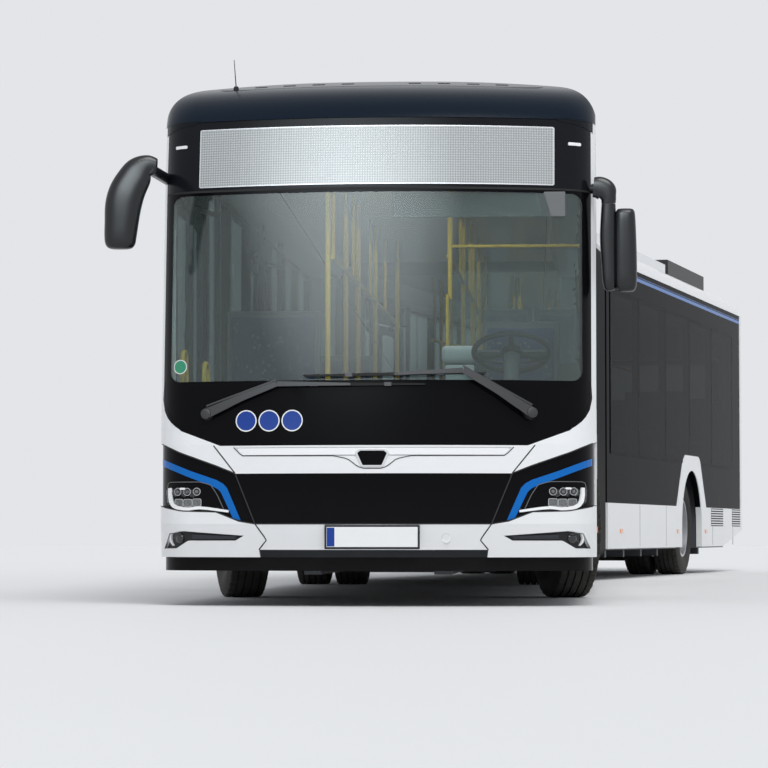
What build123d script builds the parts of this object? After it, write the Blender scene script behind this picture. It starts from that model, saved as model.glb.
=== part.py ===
# Articulated low-floor city bus: a straight front section and a trailing section bent at the pivot.
# Sizes are in millimetres. The front of the bus is at y = 0 and faces -Y, +X is the driver's side,
# and the ground is z = 0. The trailing section is drawn straight, with the pivot at its own origin,
# and is then turned about the pivot, as it stands in the photograph.
import math
import os
from build123d import *

os.makedirs("parts", exist_ok=True)

# Width and walls
HALF_WIDTH = 1275
SKIRT_STEP = 8
WALL_THICK = 55
WALL_OUT = HALF_WIDTH - SKIRT_STEP
WALL_IN = WALL_OUT - WALL_THICK
CUT_OUT = HALF_WIDTH + 25
CUT_IN = WALL_IN - 62

# Bowed front in plan: one wide arc, joined to a tighter one at each corner
BOW_R = 3400
CORNER_R = 300
CORNER_X = HALF_WIDTH - CORNER_R
CORNER_Y = BOW_R - math.sqrt((BOW_R - CORNER_R) ** 2 - CORNER_X ** 2)
BOW_END = CORNER_X * BOW_R / (BOW_R - CORNER_R)
BOW_DROP = math.sqrt(BOW_R ** 2 - BOW_END ** 2)

# Heights of the front skin and how far it is set back from y = 0 there
BUMPER_LOW = 283
BUMPER_MID = 326
BUMPER_TOP = 474
SKIN_FLAT = 930
SCREEN_TOP = 2410
SIGN_TOP = 2830
TUCK = 50
SCREEN_BACK = 140
SIGN_BACK = 212
SKIN_THICK = 45

# Lengths
CORNER_RUN = 31
SKIN_CUT = round(CORNER_Y + SIGN_BACK + CORNER_RUN)
DOOR_WIDTH = 1290
DOOR_TO_AXLE = 785
AXLE_1 = SKIN_CUT + DOOR_WIDTH + DOOR_TO_AXLE
WHEELBASE = 5105
AXLE_2 = AXLE_1 + WHEELBASE
AXLE_TO_JOINT = 1210
FRONT_END = AXLE_2 + AXLE_TO_JOINT
HALF_JOINT = 600
PIVOT_Y = FRONT_END + HALF_JOINT
AXLE_3 = 4965
REAR_OVERHANG = 3405
TRAIL_END = AXLE_3 + REAR_OVERHANG
TAIL_DEPTH = 220
TRAIL_JOIN = TRAIL_END - TAIL_DEPTH
BEND = 11.65
STEER = 15.0
CAB_END = AXLE_1 - 675

# The middle of the whole box in plan, where the origin is
ORIGIN_X = 690
ORIGIN_Y = 9007

# Heights
FLOOR_Z = 320
SLAB_THICK = 50
SLAB_Z = FLOOR_Z - SLAB_THICK
SKIRT_Z = 283
SKIRT_TOP = 696
GLASS_LOW = 1142
GLASS_HIGH = 2633
WALL_TOP = 2890
CEILING = 2780
COVING = 2640
SHOULDER_Z = 3088
CROWN = 3148
PACK_TOP = 3320
CAB_FLOOR = 640

# Wheels and arches
TYRE_R = 478.25
WHEEL_Z = TYRE_R
BEAD_R = 284
KINGPIN_X = 945
WHEEL_X = 1070
TWIN_X = 905
TWIN_STEP = 155.5
ARCH_GAP = 112
ARCH_R = TYRE_R + ARCH_GAP
HOUSE_HALF = ARCH_R + 10
HOUSE_TOP = WHEEL_Z + ARCH_R + 4
HOUSE_WALL = 30
FLARE_TOP = WHEEL_Z + ARCH_R + 154
STEERED_INNER = 530
TWIN_INNER = 575

# Articulation: carrier plate, ring, arm and disc lie on each other
CARRIER_LOW = 213
CARRIER_TOP = 241
RING_TOP = 246
DISC_R = 1000
CARRIER_HALF = 430
CARRIER_START = PIVOT_Y - 1130

# Doors: name, section, low y, high y
DOOR_HIGH = 2440
DOOR_GAP = 22
LEAF_THICK = 36
LEAF_OUT = -(WALL_OUT - 1)
LEAF_IN = LEAF_OUT + LEAF_THICK
LEAF_LOW = 357
PIVOT_X = LEAF_IN + 12
POST_X = PIVOT_X + 78
POST_BACK = 24
MEETING_GAP = 16
ARM_CLEAR = 32
HEADER_HIGH = DOOR_HIGH + 45
DOOR_2_LOW = AXLE_2 - 3400
DOOR_3_LOW = AXLE_3 - 3615
DOORS = [
    ("door_1", "front", SKIN_CUT, SKIN_CUT + DOOR_WIDTH),
    ("door_2", "front", DOOR_2_LOW, DOOR_2_LOW + DOOR_WIDTH),
    ("door_3", "trail", DOOR_3_LOW, DOOR_3_LOW + DOOR_WIDTH),
]
DOOR_2_HIGH = DOOR_2_LOW + DOOR_WIDTH
DOOR_3_HIGH = DOOR_3_LOW + DOOR_WIDTH

SHIFT = Pos(-ORIGIN_X, -ORIGIN_Y, 0)
TRAIL = SHIFT * Pos(0, PIVOT_Y, 0) * Rot(0, 0, -BEND)


def save(name, shape, place=SHIFT):
    moved = place * shape
    export_step(moved, "parts/" + name + ".step")


def block(x0, x1, y0, y1, z0, z1):
    return Pos((x0 + x1) / 2, (y0 + y1) / 2, (z0 + z1) / 2) * Box(x1 - x0, y1 - y0, z1 - z0)


# The same block on one side of the bus, where side is 1 or -1 and x is measured outwards
def side_block(side, x0, x1, y0, y1, z0, z1):
    return block(min(side * x0, side * x1), max(side * x0, side * x1), y0, y1, z0, z1)


def both(x0, x1, y0, y1, z0, z1):
    return side_block(1, x0, x1, y0, y1, z0, z1) + side_block(-1, x0, x1, y0, y1, z0, z1)


def rod(start, end, radius):
    a = Vector(*start)
    b = Vector(*end)
    return Solid.make_cylinder(radius, (b - a).length, Plane(origin=a, z_dir=b - a))


def prism(points, path):
    face = Face(Wire.make_polygon([Vector(*p) for p in points], close=True))
    return Solid.extrude(face, Vector(*path))


# Outline given in the front view as x, z and carried along y
def prism_y(points, y0, y1):
    return prism([(x, y0, z) for x, z in points], (0, y1 - y0, 0))


# Outline given in the side view as y, z and carried along x
def prism_x(points, x0, x1):
    return prism([(x0, y, z) for y, z in points], (x1 - x0, 0, 0))


# Outline given in plan as x, y and carried along z
def prism_z(points, z0, z1):
    return prism([(x, y, z0) for x, y in points], (0, 0, z1 - z0))


def join(pieces):
    whole = pieces[0]
    for piece in pieces[1:]:
        whole = whole + piece
    return whole


# Pieces that are bolted face to face stay separate solids of one node
def gather(pieces):
    solids = []
    for piece in pieces:
        solids.extend(piece.solids())
    return Compound(solids)


def mirror_x(points):
    return [(-x, z) for x, z in points]


# Both halves of an outline that is the same left and right, from its left half
def whole_outline(half):
    return [(-x, z) for x, z in half] + [(x, z) for x, z in reversed(half)]


# Plan of the bowed front, moved inward by the inset, from the left side round to the right side
def plan_edges(inset, back, z, set_back):
    nx = BOW_END / BOW_R
    ny = BOW_DROP / BOW_R
    jx = BOW_END - nx * inset
    jy = BOW_R - BOW_DROP + ny * inset + set_back
    middle = math.acos(nx) / 2
    mx = CORNER_X + (CORNER_R - inset) * math.cos(middle)
    my = CORNER_Y - (CORNER_R - inset) * math.sin(middle) + set_back
    side = HALF_WIDTH - inset
    cy = CORNER_Y + set_back
    return [
        Edge.make_line((-side, back, z), (-side, cy, z)),
        Edge.make_three_point_arc((-side, cy, z), (-mx, my, z), (-jx, jy, z)),
        Edge.make_three_point_arc((-jx, jy, z), (0, inset + set_back, z), (jx, jy, z)),
        Edge.make_three_point_arc((jx, jy, z), (mx, my, z), (side, cy, z)),
        Edge.make_line((side, cy, z), (side, back, z)),
    ]


def plan_face(inset, back, z, set_back):
    side = HALF_WIDTH - inset
    edges = plan_edges(inset, back, z, set_back)
    edges.append(Edge.make_line((side, back, z), (-side, back, z)))
    return Face(Wire(edges))


# One slanted band of the front, solid behind its outline
def front_body(inset, z0, s0, z1, s1):
    return Solid.extrude(plan_face(inset, SKIN_CUT + 200, z0, s0), Vector(0, s1 - s0, z1 - z0))


# One slanted band of skin, between two insets
def skin(inset0, inset1, z0, s0, z1, s1):
    outer = front_body(inset0, z0, s0, z1, s1)
    inner = front_body(inset1, z0, s0, z1, s1)
    front = block(-CUT_OUT, CUT_OUT, -100, SKIN_CUT, z0 - 1, z1 + 1)
    return (outer - inner) & front


# Cross-section of the roof at one y
def roof_face(y, base):
    hip = HALF_WIDTH - 83
    shoulder = HALF_WIDTH - 230
    hip_z = WALL_TOP + 132
    edges = [
        Edge.make_three_point_arc((-HALF_WIDTH, y, WALL_TOP), (-hip, y, hip_z), (-shoulder, y, SHOULDER_Z)),
        Edge.make_three_point_arc((-shoulder, y, SHOULDER_Z), (0, y, CROWN), (shoulder, y, SHOULDER_Z)),
        Edge.make_three_point_arc((shoulder, y, SHOULDER_Z), (hip, y, hip_z), (HALF_WIDTH, y, WALL_TOP)),
        Edge.make_line((HALF_WIDTH, y, base), (-HALF_WIDTH, y, base)),
    ]
    if base < WALL_TOP:
        edges.append(Edge.make_line((-HALF_WIDTH, y, base), (-HALF_WIDTH, y, WALL_TOP)))
        edges.append(Edge.make_line((HALF_WIDTH, y, WALL_TOP), (HALF_WIDTH, y, base)))
    return Face(Wire(edges))


# Height and setback of each fold line of the front skin
FOLD_LINES = [
    (BUMPER_LOW, TUCK), (BUMPER_TOP, 0), (SKIN_FLAT, 0), (SCREEN_TOP, SCREEN_BACK), (SIGN_TOP, SIGN_BACK),
]


def setback(z):
    for (za, sa), (zb, sb) in zip(FOLD_LINES, FOLD_LINES[1:]):
        if z <= zb:
            return sa + (sb - sa) * (z - za) / (zb - za)
    return SIGN_BACK


# FRONT FACE
band_low = skin(0, SKIN_THICK, BUMPER_LOW, TUCK, BUMPER_TOP, 0)
band_mid = skin(0, SKIN_THICK, BUMPER_TOP, 0, SKIN_FLAT, 0)
band_screen = skin(0, SKIN_THICK, SKIN_FLAT, 0, SCREEN_TOP, SCREEN_BACK)
band_sign = skin(0, SKIN_THICK, SCREEN_TOP, SCREEN_BACK, SIGN_TOP, SIGN_BACK)

# Outlines in the front view, from the middle bottom outwards, as x and z
SCREEN_HALF = HALF_WIDTH - 28
PANEL_HALF = 796
PANEL_FOOT = 678
PANEL_TOP = 762
NECK_HALF = 612
SPLITTER_HALF = 658
SCREEN_LOW = 922
LAMP_TOP = 948
LAMP_LOW = 579
SCREEN = whole_outline([
    (SCREEN_HALF, SCREEN_TOP), (SCREEN_HALF, 1175), (SCREEN_HALF - 57, 1068), (SCREEN_HALF - 124, 1010),
    (885, SCREEN_LOW),
])
SIGN = whole_outline([
    (SCREEN_HALF - 204, SIGN_TOP + 1), (SCREEN_HALF - 52, 2812), (SCREEN_HALF, 2785),
    (SCREEN_HALF, SCREEN_TOP),
])
DARK_PANEL = whole_outline([(PANEL_HALF, PANEL_TOP), (PANEL_FOOT, BUMPER_TOP)])
LAMP_AREA = [
    (CUT_OUT, LAMP_TOP), (HALF_WIDTH, LAMP_TOP), (HALF_WIDTH - 146, 884), (910, 807), (PANEL_HALF, PANEL_TOP),
    (PANEL_FOOT, BUMPER_TOP), (774, 490), (909, 543), (HALF_WIDTH - 155, 549), (HALF_WIDTH, LAMP_LOW),
    (CUT_OUT, LAMP_LOW),
]
BUMPER = whole_outline([(PANEL_FOOT, BUMPER_TOP), (NECK_HALF, 382), (SPLITTER_HALF, BUMPER_MID)])
UNDER_BUMPER = whole_outline([(SPLITTER_HALF, BUMPER_MID), (SPLITTER_HALF - 18, 200)])
FOG_RECESS = [
    (HALF_WIDTH - 35, 332), (HALF_WIDTH - 76, 420), (HALF_WIDTH - 155, 434), (745, 407), (796, 378),
    (HALF_WIDTH - 194, 377), (HALF_WIDTH - 118, 332),
]
LIGHT_STRIP = whole_outline([(794, 911), (748, 862)])

CUT_DEPTH = SKIN_CUT - 10
screen_cut = prism_y(SCREEN, -100, CUT_DEPTH)
sign_cut = prism_y(SIGN, -100, CUT_DEPTH)
panel_cut = prism_y(DARK_PANEL, -100, CUT_DEPTH)
lamp_left = prism_y(LAMP_AREA, -100, CUT_DEPTH - 130)
lamp_right = prism_y(mirror_x(LAMP_AREA), -100, CUT_DEPTH - 130)
bumper_cut = prism_y(BUMPER, -100, CUT_DEPTH)

mask = band_low + band_mid + band_screen + band_sign
mask = mask - screen_cut - sign_cut - panel_cut - lamp_left - lamp_right
mask = mask - bumper_cut - prism_y(UNDER_BUMPER, -100, CUT_DEPTH)
groove = front_body(0, 400, 0, SKIN_FLAT - 10, 0) - front_body(10, 400, 0, SKIN_FLAT - 10, 0)
mask = mask - (groove & prism_y(LIGHT_STRIP, -100, 300))
fog_groove = front_body(-1, BUMPER_LOW, TUCK, BUMPER_TOP, 0) - front_body(22, BUMPER_LOW, TUCK, BUMPER_TOP, 0)
for outline in (FOG_RECESS, mirror_x(FOG_RECESS)):
    mask = mask - (fog_groove & prism_y(outline, -100, CUT_DEPTH - 190))
save("front_mask", mask)

# The screen's glass fills a window with round lower corners, and a printed border surrounds it
GLASS_SIDE = SCREEN_HALF - 52
GLASS_BOTTOM = 1296
GLASS_TOP = SCREEN_TOP - 22
GLASS_CORNER = 60
glass_shape = RectangleRounded(2 * GLASS_SIDE, GLASS_TOP - GLASS_BOTTOM, GLASS_CORNER)
glass_plane = Plane(origin=(0, -100, (GLASS_TOP + GLASS_BOTTOM) / 2), x_dir=(1, 0, 0), z_dir=(0, 1, 0))
glass_cut = extrude(glass_plane * glass_shape, CUT_DEPTH)
screen_foot = skin(0.5, 14, SKIN_FLAT - 30, 0, SKIN_FLAT, 0)
screen_band = screen_foot + skin(0.5, 14, SKIN_FLAT, 0, SCREEN_TOP, SCREEN_BACK)
screen_band = screen_band & screen_cut
save("windscreen", screen_band & glass_cut)
save("destination_glass", skin(1, 14, SCREEN_TOP, SCREEN_BACK, SIGN_TOP, SIGN_BACK) & sign_cut)

# Black parts of the front: panel, lamp housings, the screen's border and the valance
VALANCE_LOW = 205
dark = band_mid & panel_cut
housing = skin(12, 90, BUMPER_TOP, 0, SKIN_FLAT + 30, 0)
valance_room = block(-HALF_WIDTH, HALF_WIDTH, -100, SKIN_CUT - 180, 0, BUMPER_LOW)
valance = skin(24, 54, VALANCE_LOW, TUCK, BUMPER_LOW, TUCK) & valance_room
dark_pieces = [dark, housing & lamp_left, housing & lamp_right, screen_band - glass_cut, valance]
save("front_dark_panel", gather(dark_pieces))

# Bumper with the number plate's board, and two crash brackets of which one holds the towing eye's socket
PLATE_HALF = 264
PLATE_LOW = 338
PLATE_HIGH = 460
TOW_X = 420
TOW_Z = 392
TOW_R = 16
BOSS_R = 26
SOCKET_START = 46
SOCKET_END = 198
bumper = band_low & bumper_cut
bumper = bumper + block(-PLATE_HALF, PLATE_HALF, 4, 40, PLATE_LOW, PLATE_HIGH)
inside_skin = front_body(SKIN_THICK, BUMPER_LOW, TUCK, BUMPER_TOP, 0)
brackets = both(TOW_X - 50, TOW_X + 90, 60, 300, TOW_Z - 47, TOW_Z + 47) & inside_skin
boss = rod((TOW_X, SOCKET_START, TOW_Z), (TOW_X, SOCKET_END, TOW_Z), BOSS_R)
socket = rod((TOW_X, SOCKET_START - 1, TOW_Z), (TOW_X, SOCKET_END, TOW_Z), TOW_R)
skin_hole = rod((TOW_X, -20, TOW_Z), (TOW_X, SOCKET_END, TOW_Z), BOSS_R)
save("front_bumper", gather([bumper - skin_hole, brackets + boss - socket]))

# Lamps: light bar and two rows of three cells on each side, a fog lamp and a clearance lamp
# Distance in from the side, z, radius of each cell
CELLS = [(115, 655, 22), (170, 652, 22), (225, 649, 22), (120, 592, 20), (177, 590, 20), (233, 588, 20)]
LIGHT_BAR = [
    (53, 672), (75, 672), (81, 622), (107, 588), (175, 574), (435, 560), (437, 542), (195, 556), (95, 568),
    (60, 600),
]
FOG_X = HALF_WIDTH - 127
FOG_Z = 396
FOG_R = 30
lens_skin = front_body(4, 400, 0, 900, 0) - front_body(12, 400, 0, 900, 0)
fog_lens = front_body(10, BUMPER_LOW, TUCK, BUMPER_TOP, 0) - front_body(22, BUMPER_LOW, TUCK, BUMPER_TOP, 0)
lamps = []
for side in (-1, 1):
    for inwards, z, radius in CELLS:
        x = side * (HALF_WIDTH - inwards)
        lamps.append(rod((x, -60, z), (x, CORNER_Y, z), radius) & lens_skin)
    bar = [(side * (HALF_WIDTH - inwards), z) for inwards, z in LIGHT_BAR]
    lamps.append(lens_skin & prism_y(bar, -100, CORNER_Y))
    lamps.append(rod((side * FOG_X, -60, FOG_Z), (side * FOG_X, CORNER_Y, FOG_Z), FOG_R) & fog_lens)
save("headlamps", join(lamps))

# Dome over the front: outlines of the plan at rising heights, as height and setback
DOME = [(SIGN_TOP, SIGN_BACK), (2900, 262), (2975, 350), (3040, 490), (3095, 700), (3150, 1000)]
DOME_END = 1200
rings = [plan_face(-4, DOME_END + 500, z, s) for z, s in DOME]
dome = Solid.make_loft([face.outer_wire() for face in rings])
crown = Solid.extrude(roof_face(100, SIGN_TOP - 30), Vector(0, DOME_END - 100, 0))
dome = crown & dome
dome_low = front_body(60, SIGN_TOP - 5, SIGN_BACK - 1, 2950, 330)
dome_low = dome_low & block(-HALF_WIDTH + 135, HALF_WIDTH - 135, 0, DOME_END, SIGN_TOP - 5, 2950)
dome_high = front_body(60, 2950, 330, 3020, 520)
dome_high = dome_high & block(-HALF_WIDTH + 195, HALF_WIDTH - 195, 0, DOME_END, 2949, 3020)
dome = dome - dome_low - dome_high
dome = dome - block(-CUT_OUT, CUT_OUT, SKIN_CUT, DOME_END + 100, 2700, WALL_TOP)
dome = dome - block(-HALF_WIDTH + 155, HALF_WIDTH - 155, SKIN_CUT + 190, DOME_END + 100, 2700, 3020)
save("roof_dome", dome)

# SIDE WALLS
PILLAR = 70
EDGE = 22
PANE_LAP = 30
WINDOW_END = FRONT_END - 130
TRAIL_WINDOW_END = TRAIL_JOIN - 590


# A row of equal windows with pillars between them
def window_row(y0, y1, count):
    width = (y1 - y0 - PILLAR * (count - 1)) / count
    starts = [y0 + i * (width + PILLAR) for i in range(count)]
    return [(start, start + width, GLASS_LOW, GLASS_HIGH) for start in starts]


CAB_WINDOW = (SKIN_CUT + 90, CAB_END - 40, 1060, GLASS_HIGH)
FRONT_LEFT = [CAB_WINDOW] + window_row(CAB_END + 30, WINDOW_END, 5)
FRONT_RIGHT = window_row(CAB_END + 30, DOOR_2_LOW - 100, 2) + window_row(DOOR_2_HIGH + 100, WINDOW_END, 3)
TRAIL_LEFT = window_row(HALF_JOINT + 180, TRAIL_WINDOW_END, 5)
TRAIL_RIGHT = window_row(DOOR_3_HIGH + 100, TRAIL_WINDOW_END, 4)


def arch(side, y):
    x0 = min(side * CUT_IN, side * CUT_OUT)
    x1 = max(side * CUT_IN, side * CUT_OUT)
    return rod((x0, y, WHEEL_Z), (x1, y, WHEEL_Z), ARCH_R) + block(x0, x1, y - ARCH_R, y + ARCH_R, 0, WHEEL_Z)


# Flared panel round an arch, as y from the axle and z
FLARE = whole_outline([
    (ARCH_R - 190, FLARE_TOP), (ARCH_R - 90, FLARE_TOP - 42), (ARCH_R - 30, FLARE_TOP - 122),
    (ARCH_R + 280, SKIRT_TOP),
])


def flare(side, axle, x0, x1):
    return prism_x([(axle + y, z) for y, z in FLARE], min(side * x0, side * x1), max(side * x0, side * x1))


def walls(section, y0, y1, left, right, axles):
    pieces = []
    for side, windows in ((1, left), (-1, right)):
        wall = side_block(side, WALL_IN, WALL_OUT, y0, y1, SKIRT_TOP, WALL_TOP)
        for low, high, bottom, top in windows:
            hole = (low + EDGE, high - EDGE, bottom + EDGE, top - EDGE)
            wall = wall - side_block(side, CUT_IN, CUT_OUT, *hole)
        for axle in axles:
            wall = wall - arch(side, axle)
        if side < 0:
            for name, where, low, high in DOORS:
                if where == section:
                    wall = wall - side_block(side, CUT_IN, CUT_OUT, low, high, 0, DOOR_HIGH)
                    wall = wall - side_block(side, CUT_IN, -PIVOT_X + ARM_CLEAR, low, high, 0, HEADER_HIGH)
        pieces.append(wall)
    return pieces[0] + pieces[1]


# The rear overhang's lower edge rises
def rise(x0, x1):
    start = TRAIL_JOIN - 1300
    end = TRAIL_END + 30
    return prism_x([(start, 273), (end, 484), (end, 200), (start, 200)], x0, x1)


def skirts(section, y0, y1, axles, louvres):
    pieces = []
    for side in (1, -1):
        skirt = side_block(side, WALL_IN + 3, HALF_WIDTH, y0, y1, SKIRT_Z, SKIRT_TOP)
        for axle in axles:
            skirt = skirt + flare(side, axle, WALL_OUT, HALF_WIDTH)
        for axle in axles:
            skirt = skirt - arch(side, axle)
        if side < 0:
            for name, where, low, high in DOORS:
                if where == section:
                    skirt = skirt - side_block(side, CUT_IN, CUT_OUT, low, high, FLOOR_Z, FLARE_TOP)
        if section == "trail":
            skirt = skirt - rise(-CUT_OUT, CUT_OUT)
        for low, high in louvres:
            for k in range(LOUVRE_SLOTS):
                z = LOUVRE_LOW + k * LOUVRE_STEP
                skirt = skirt - side_block(side, CUT_IN, CUT_OUT, low, high, z, z + LOUVRE_STEP / 2)
        pieces.append(skirt)
    return pieces[0] + pieces[1]


def glazing(left, right, axles):
    panes = []
    for side, windows in ((1, left), (-1, right)):
        for low, high, bottom, top in windows:
            pane = side_block(side, WALL_OUT, WALL_OUT + 6, low - PANE_LAP, high + PANE_LAP, bottom, top)
            for axle in axles:
                if low - PANE_LAP < axle + ARCH_R + 10 and high + PANE_LAP > axle - ARCH_R - 10:
                    pane = pane - flare(side, axle, WALL_OUT - 5, HALF_WIDTH)
            panes.append(pane)
    return panes


# Louvres of the motor bay: low y and high y of each panel
LOUVRE_SLOTS = 7
LOUVRE_LOW = 515
LOUVRE_STEP = 24
LOUVRES = [(AXLE_3 + 1175, AXLE_3 + 1965), (AXLE_3 + 2575, TRAIL_JOIN - 25)]
save("front_sides", walls("front", SKIN_CUT, FRONT_END, FRONT_LEFT, FRONT_RIGHT, (AXLE_1, AXLE_2)))
save("front_skirts", skirts("front", SKIN_CUT, FRONT_END, (AXLE_1, AXLE_2), []))
save("front_glazing", join(glazing(FRONT_LEFT, FRONT_RIGHT, (AXLE_1, AXLE_2))))
save("rear_sides", walls("trail", HALF_JOINT, TRAIL_JOIN, TRAIL_LEFT, TRAIL_RIGHT, (AXLE_3,)), TRAIL)
save("rear_skirts", skirts("trail", HALF_JOINT, TRAIL_JOIN, (AXLE_3,), LOUVRES), TRAIL)


# ROOF with the coving over the windows and a portal frame at the joint
def roof(y0, y1, portal):
    outer = Solid.extrude(roof_face(y0, WALL_TOP), Vector(0, y1 - y0, 0))
    under = whole_outline([
        (WALL_IN, WALL_TOP), (WALL_IN, COVING), (WALL_IN - 252, COVING), (WALL_IN - 312, CEILING),
    ])
    frame = both(WALL_IN - 212, WALL_IN, portal[0], portal[1], FLOOR_Z, COVING)
    return outer + prism_y(under, y0, y1) + frame


PORTAL = 60
front_roof = roof(DOME_END, FRONT_END, (FRONT_END - PORTAL, FRONT_END))
save("front_roof", front_roof)
rear_roof = roof(HALF_JOINT, TRAIL_JOIN, (HALF_JOINT, HALF_JOINT + PORTAL))
PACK_HALF = WALL_IN - 232
rear_pack = block(-PACK_HALF, PACK_HALF, 1100, AXLE_3 + 135, SHOULDER_Z - 38, PACK_TOP - 95)
cooler = block(-PACK_HALF + 20, PACK_HALF - 20, AXLE_3 + 375, AXLE_3 + 2595, SHOULDER_Z - 38, PACK_TOP - 20)
save("rear_roof", rear_roof + rear_pack + cooler, TRAIL)
pack = block(-PACK_HALF - 10, PACK_HALF + 10, 2600, FRONT_END - 290, SHOULDER_Z - 38, PACK_TOP)
pack = chamfer(pack.edges().filter_by(Axis.Y).group_by(Axis.Z)[-1], 90)
save("front_roof_pack", pack - front_roof)

# FLOOR: deck plate, two long beams, cross beams, and a boxed wheelhouse over each wheel
BEAM_IN = 330
BEAM_OUT = 430
BEAM_LOW = 180
CROSS_LOW = 200
CROSS_WIDE = 70
DECK_HALF = WALL_IN - 2


# Deck plates laid end to end, narrower between the wheelhouses, as y and half width
def deck_plates(y0, y1, axles):
    plates = []
    start = y0
    for axle, inner in axles:
        hole = HOUSE_HALF + HOUSE_WALL
        plates.append((start, axle - hole, DECK_HALF))
        plates.append((axle - hole, axle + hole, inner - HOUSE_WALL))
        start = axle + hole
    plates.append((start, y1, DECK_HALF))
    return [block(-half, half, low, high, SLAB_Z, FLOOR_Z) for low, high, half in plates]


def long_beams(y0, y1, axles):
    beams = both(BEAM_IN, BEAM_OUT, y0, y1, BEAM_LOW, SLAB_Z)
    for axle, inner in axles:
        beams = beams - both(BEAM_IN - 30, BEAM_OUT + 30, axle - 140, axle + 140, 100, SLAB_Z)
    return beams


# Four plates round each wheel's space: front, rear, inner side and top
def wheelhouses(axles):
    plates = []
    lid = HOUSE_TOP + HOUSE_WALL
    for axle, inner in axles:
        inside = inner - HOUSE_WALL
        low = axle - HOUSE_HALF
        high = axle + HOUSE_HALF
        for side in (-1, 1):
            plates.append(side_block(side, inside, DECK_HALF, low - HOUSE_WALL, low, SLAB_Z, HOUSE_TOP))
            plates.append(side_block(side, inside, DECK_HALF, high, high + HOUSE_WALL, SLAB_Z, HOUSE_TOP))
            plates.append(side_block(side, inside, inner, low, high, SLAB_Z, HOUSE_TOP))
            top = (low - HOUSE_WALL, high + HOUSE_WALL, HOUSE_TOP, lid)
            plates.append(side_block(side, inside, DECK_HALF, *top))
    return plates


def cross_beam(y):
    return block(-1100, 1100, y, y + CROSS_WIDE, CROSS_LOW, SLAB_Z)


def cross_beams(y0, y1, count):
    return [cross_beam(y0 + i * (y1 - y0) / (count - 1)) for i in range(count)]


FRONT_AXLES = ((AXLE_1, STEERED_INNER), (AXLE_2, TWIN_INNER))
TRAIL_AXLES = ((AXLE_3, TWIN_INNER),)
DISC_CLEAR = DISC_R + 10
deck_start = 300
decks = deck_plates(deck_start, FRONT_END, FRONT_AXLES)
corners = [(-CUT_OUT, 200), (CUT_OUT, 200), (CUT_OUT, 640), (1060, 440), (-1060, 440), (-CUT_OUT, 640)]
decks[0] = decks[0] - prism_z(corners, 100, 500)
decks[-1] = decks[-1] - rod((0, PIVOT_Y, 0), (0, PIVOT_Y, 600), DISC_CLEAR)
chassis = cross_beams(SKIN_CUT + 60, CAB_END - 400, 2) + cross_beams(AXLE_1 + 825, AXLE_2 - 930, 5)
carrier = block(-CARRIER_HALF, CARRIER_HALF, CARRIER_START, PIVOT_Y, CARRIER_LOW, CARRIER_TOP)
carrier = carrier + rod((0, PIVOT_Y, CARRIER_LOW), (0, PIVOT_Y, CARRIER_TOP), CARRIER_HALF)
carrier = carrier + block(-CARRIER_HALF, CARRIER_HALF, CARRIER_START, CARRIER_START + 80, CARRIER_LOW, SLAB_Z)
beam_start = 440
chassis = join([long_beams(beam_start, FRONT_END, FRONT_AXLES)] + chassis)
chassis = chassis - rod((0, PIVOT_Y, CARRIER_TOP), (0, PIVOT_Y, SLAB_Z), DISC_CLEAR) + carrier
platform = block(BEAM_IN, DECK_HALF, 560, CAB_END, FLOOR_Z, CAB_FLOOR)
save("front_floor", gather(decks + [chassis, platform] + wheelhouses(FRONT_AXLES)))

REAR_FLOOR_END = TRAIL_JOIN - 850
REAR_CROSS = AXLE_3 + 1335
rear_decks = deck_plates(HALF_JOINT, REAR_FLOOR_END, TRAIL_AXLES)
rear_decks[0] = rear_decks[0] - rod((0, 0, 0), (0, 0, 600), DISC_CLEAR)
rear_cross = cross_beams(1300, AXLE_3 - 1065, 4) + [cross_beam(REAR_CROSS)]
rear_chassis = join([long_beams(HALF_JOINT, REAR_FLOOR_END, TRAIL_AXLES)] + rear_cross)
rear_chassis = rear_chassis - rod((0, 0, 0), (0, 0, SLAB_Z), DISC_CLEAR)
save("rear_floor", gather(rear_decks + [rear_chassis] + wheelhouses(TRAIL_AXLES)), TRAIL)
disc = rod((0, 0, SLAB_Z), (0, 0, FLOOR_Z), DISC_R)
arm = rod((0, 0, RING_TOP), (0, 0, SLAB_Z), 420) + block(-320, 320, 0, DISC_R + 290, RING_TOP, SLAB_Z)
ring = rod((0, 0, CARRIER_TOP + 0.5), (0, 0, RING_TOP), 360)
save("turntable", disc + arm + ring, TRAIL)

# TAIL: a shell bent round the rear corners, with a window, lamp recesses and a bumper strip
TAIL_WALL = 60
TAIL_OUTER = [
    (HALF_WIDTH, TRAIL_JOIN), (HALF_WIDTH, TRAIL_END - 120), (HALF_WIDTH - 45, TRAIL_END - 40),
    (HALF_WIDTH - 125, TRAIL_END),
]
TAIL_INNER = [
    (WALL_IN, TRAIL_JOIN), (WALL_IN, TRAIL_END - 130), (WALL_IN - 32, TRAIL_END - 80),
    (WALL_IN - 82, TRAIL_END - TAIL_WALL),
]
TAIL_WINDOW = (1000, 1560, 2420)
LAMP_IN = HALF_WIDTH - 185
LAMP_OUT = HALF_WIDTH - 105
tail_outer = whole_outline(TAIL_OUTER)
shell = prism_z(tail_outer, 300, WALL_TOP) - prism_z(whole_outline(TAIL_INNER), 200, 3000)
shell = shell - rise(-CUT_OUT, CUT_OUT)
window_half, window_low, window_high = TAIL_WINDOW
shell = shell - block(-window_half, window_half, TRAIL_END - 90, TRAIL_END + 30, window_low, window_high)
roof_end = Solid.extrude(roof_face(TRAIL_JOIN, WALL_TOP), Vector(0, TAIL_DEPTH + 80, 0))
roof_end = roof_end & prism_z(tail_outer, 2800, 3300)
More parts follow.
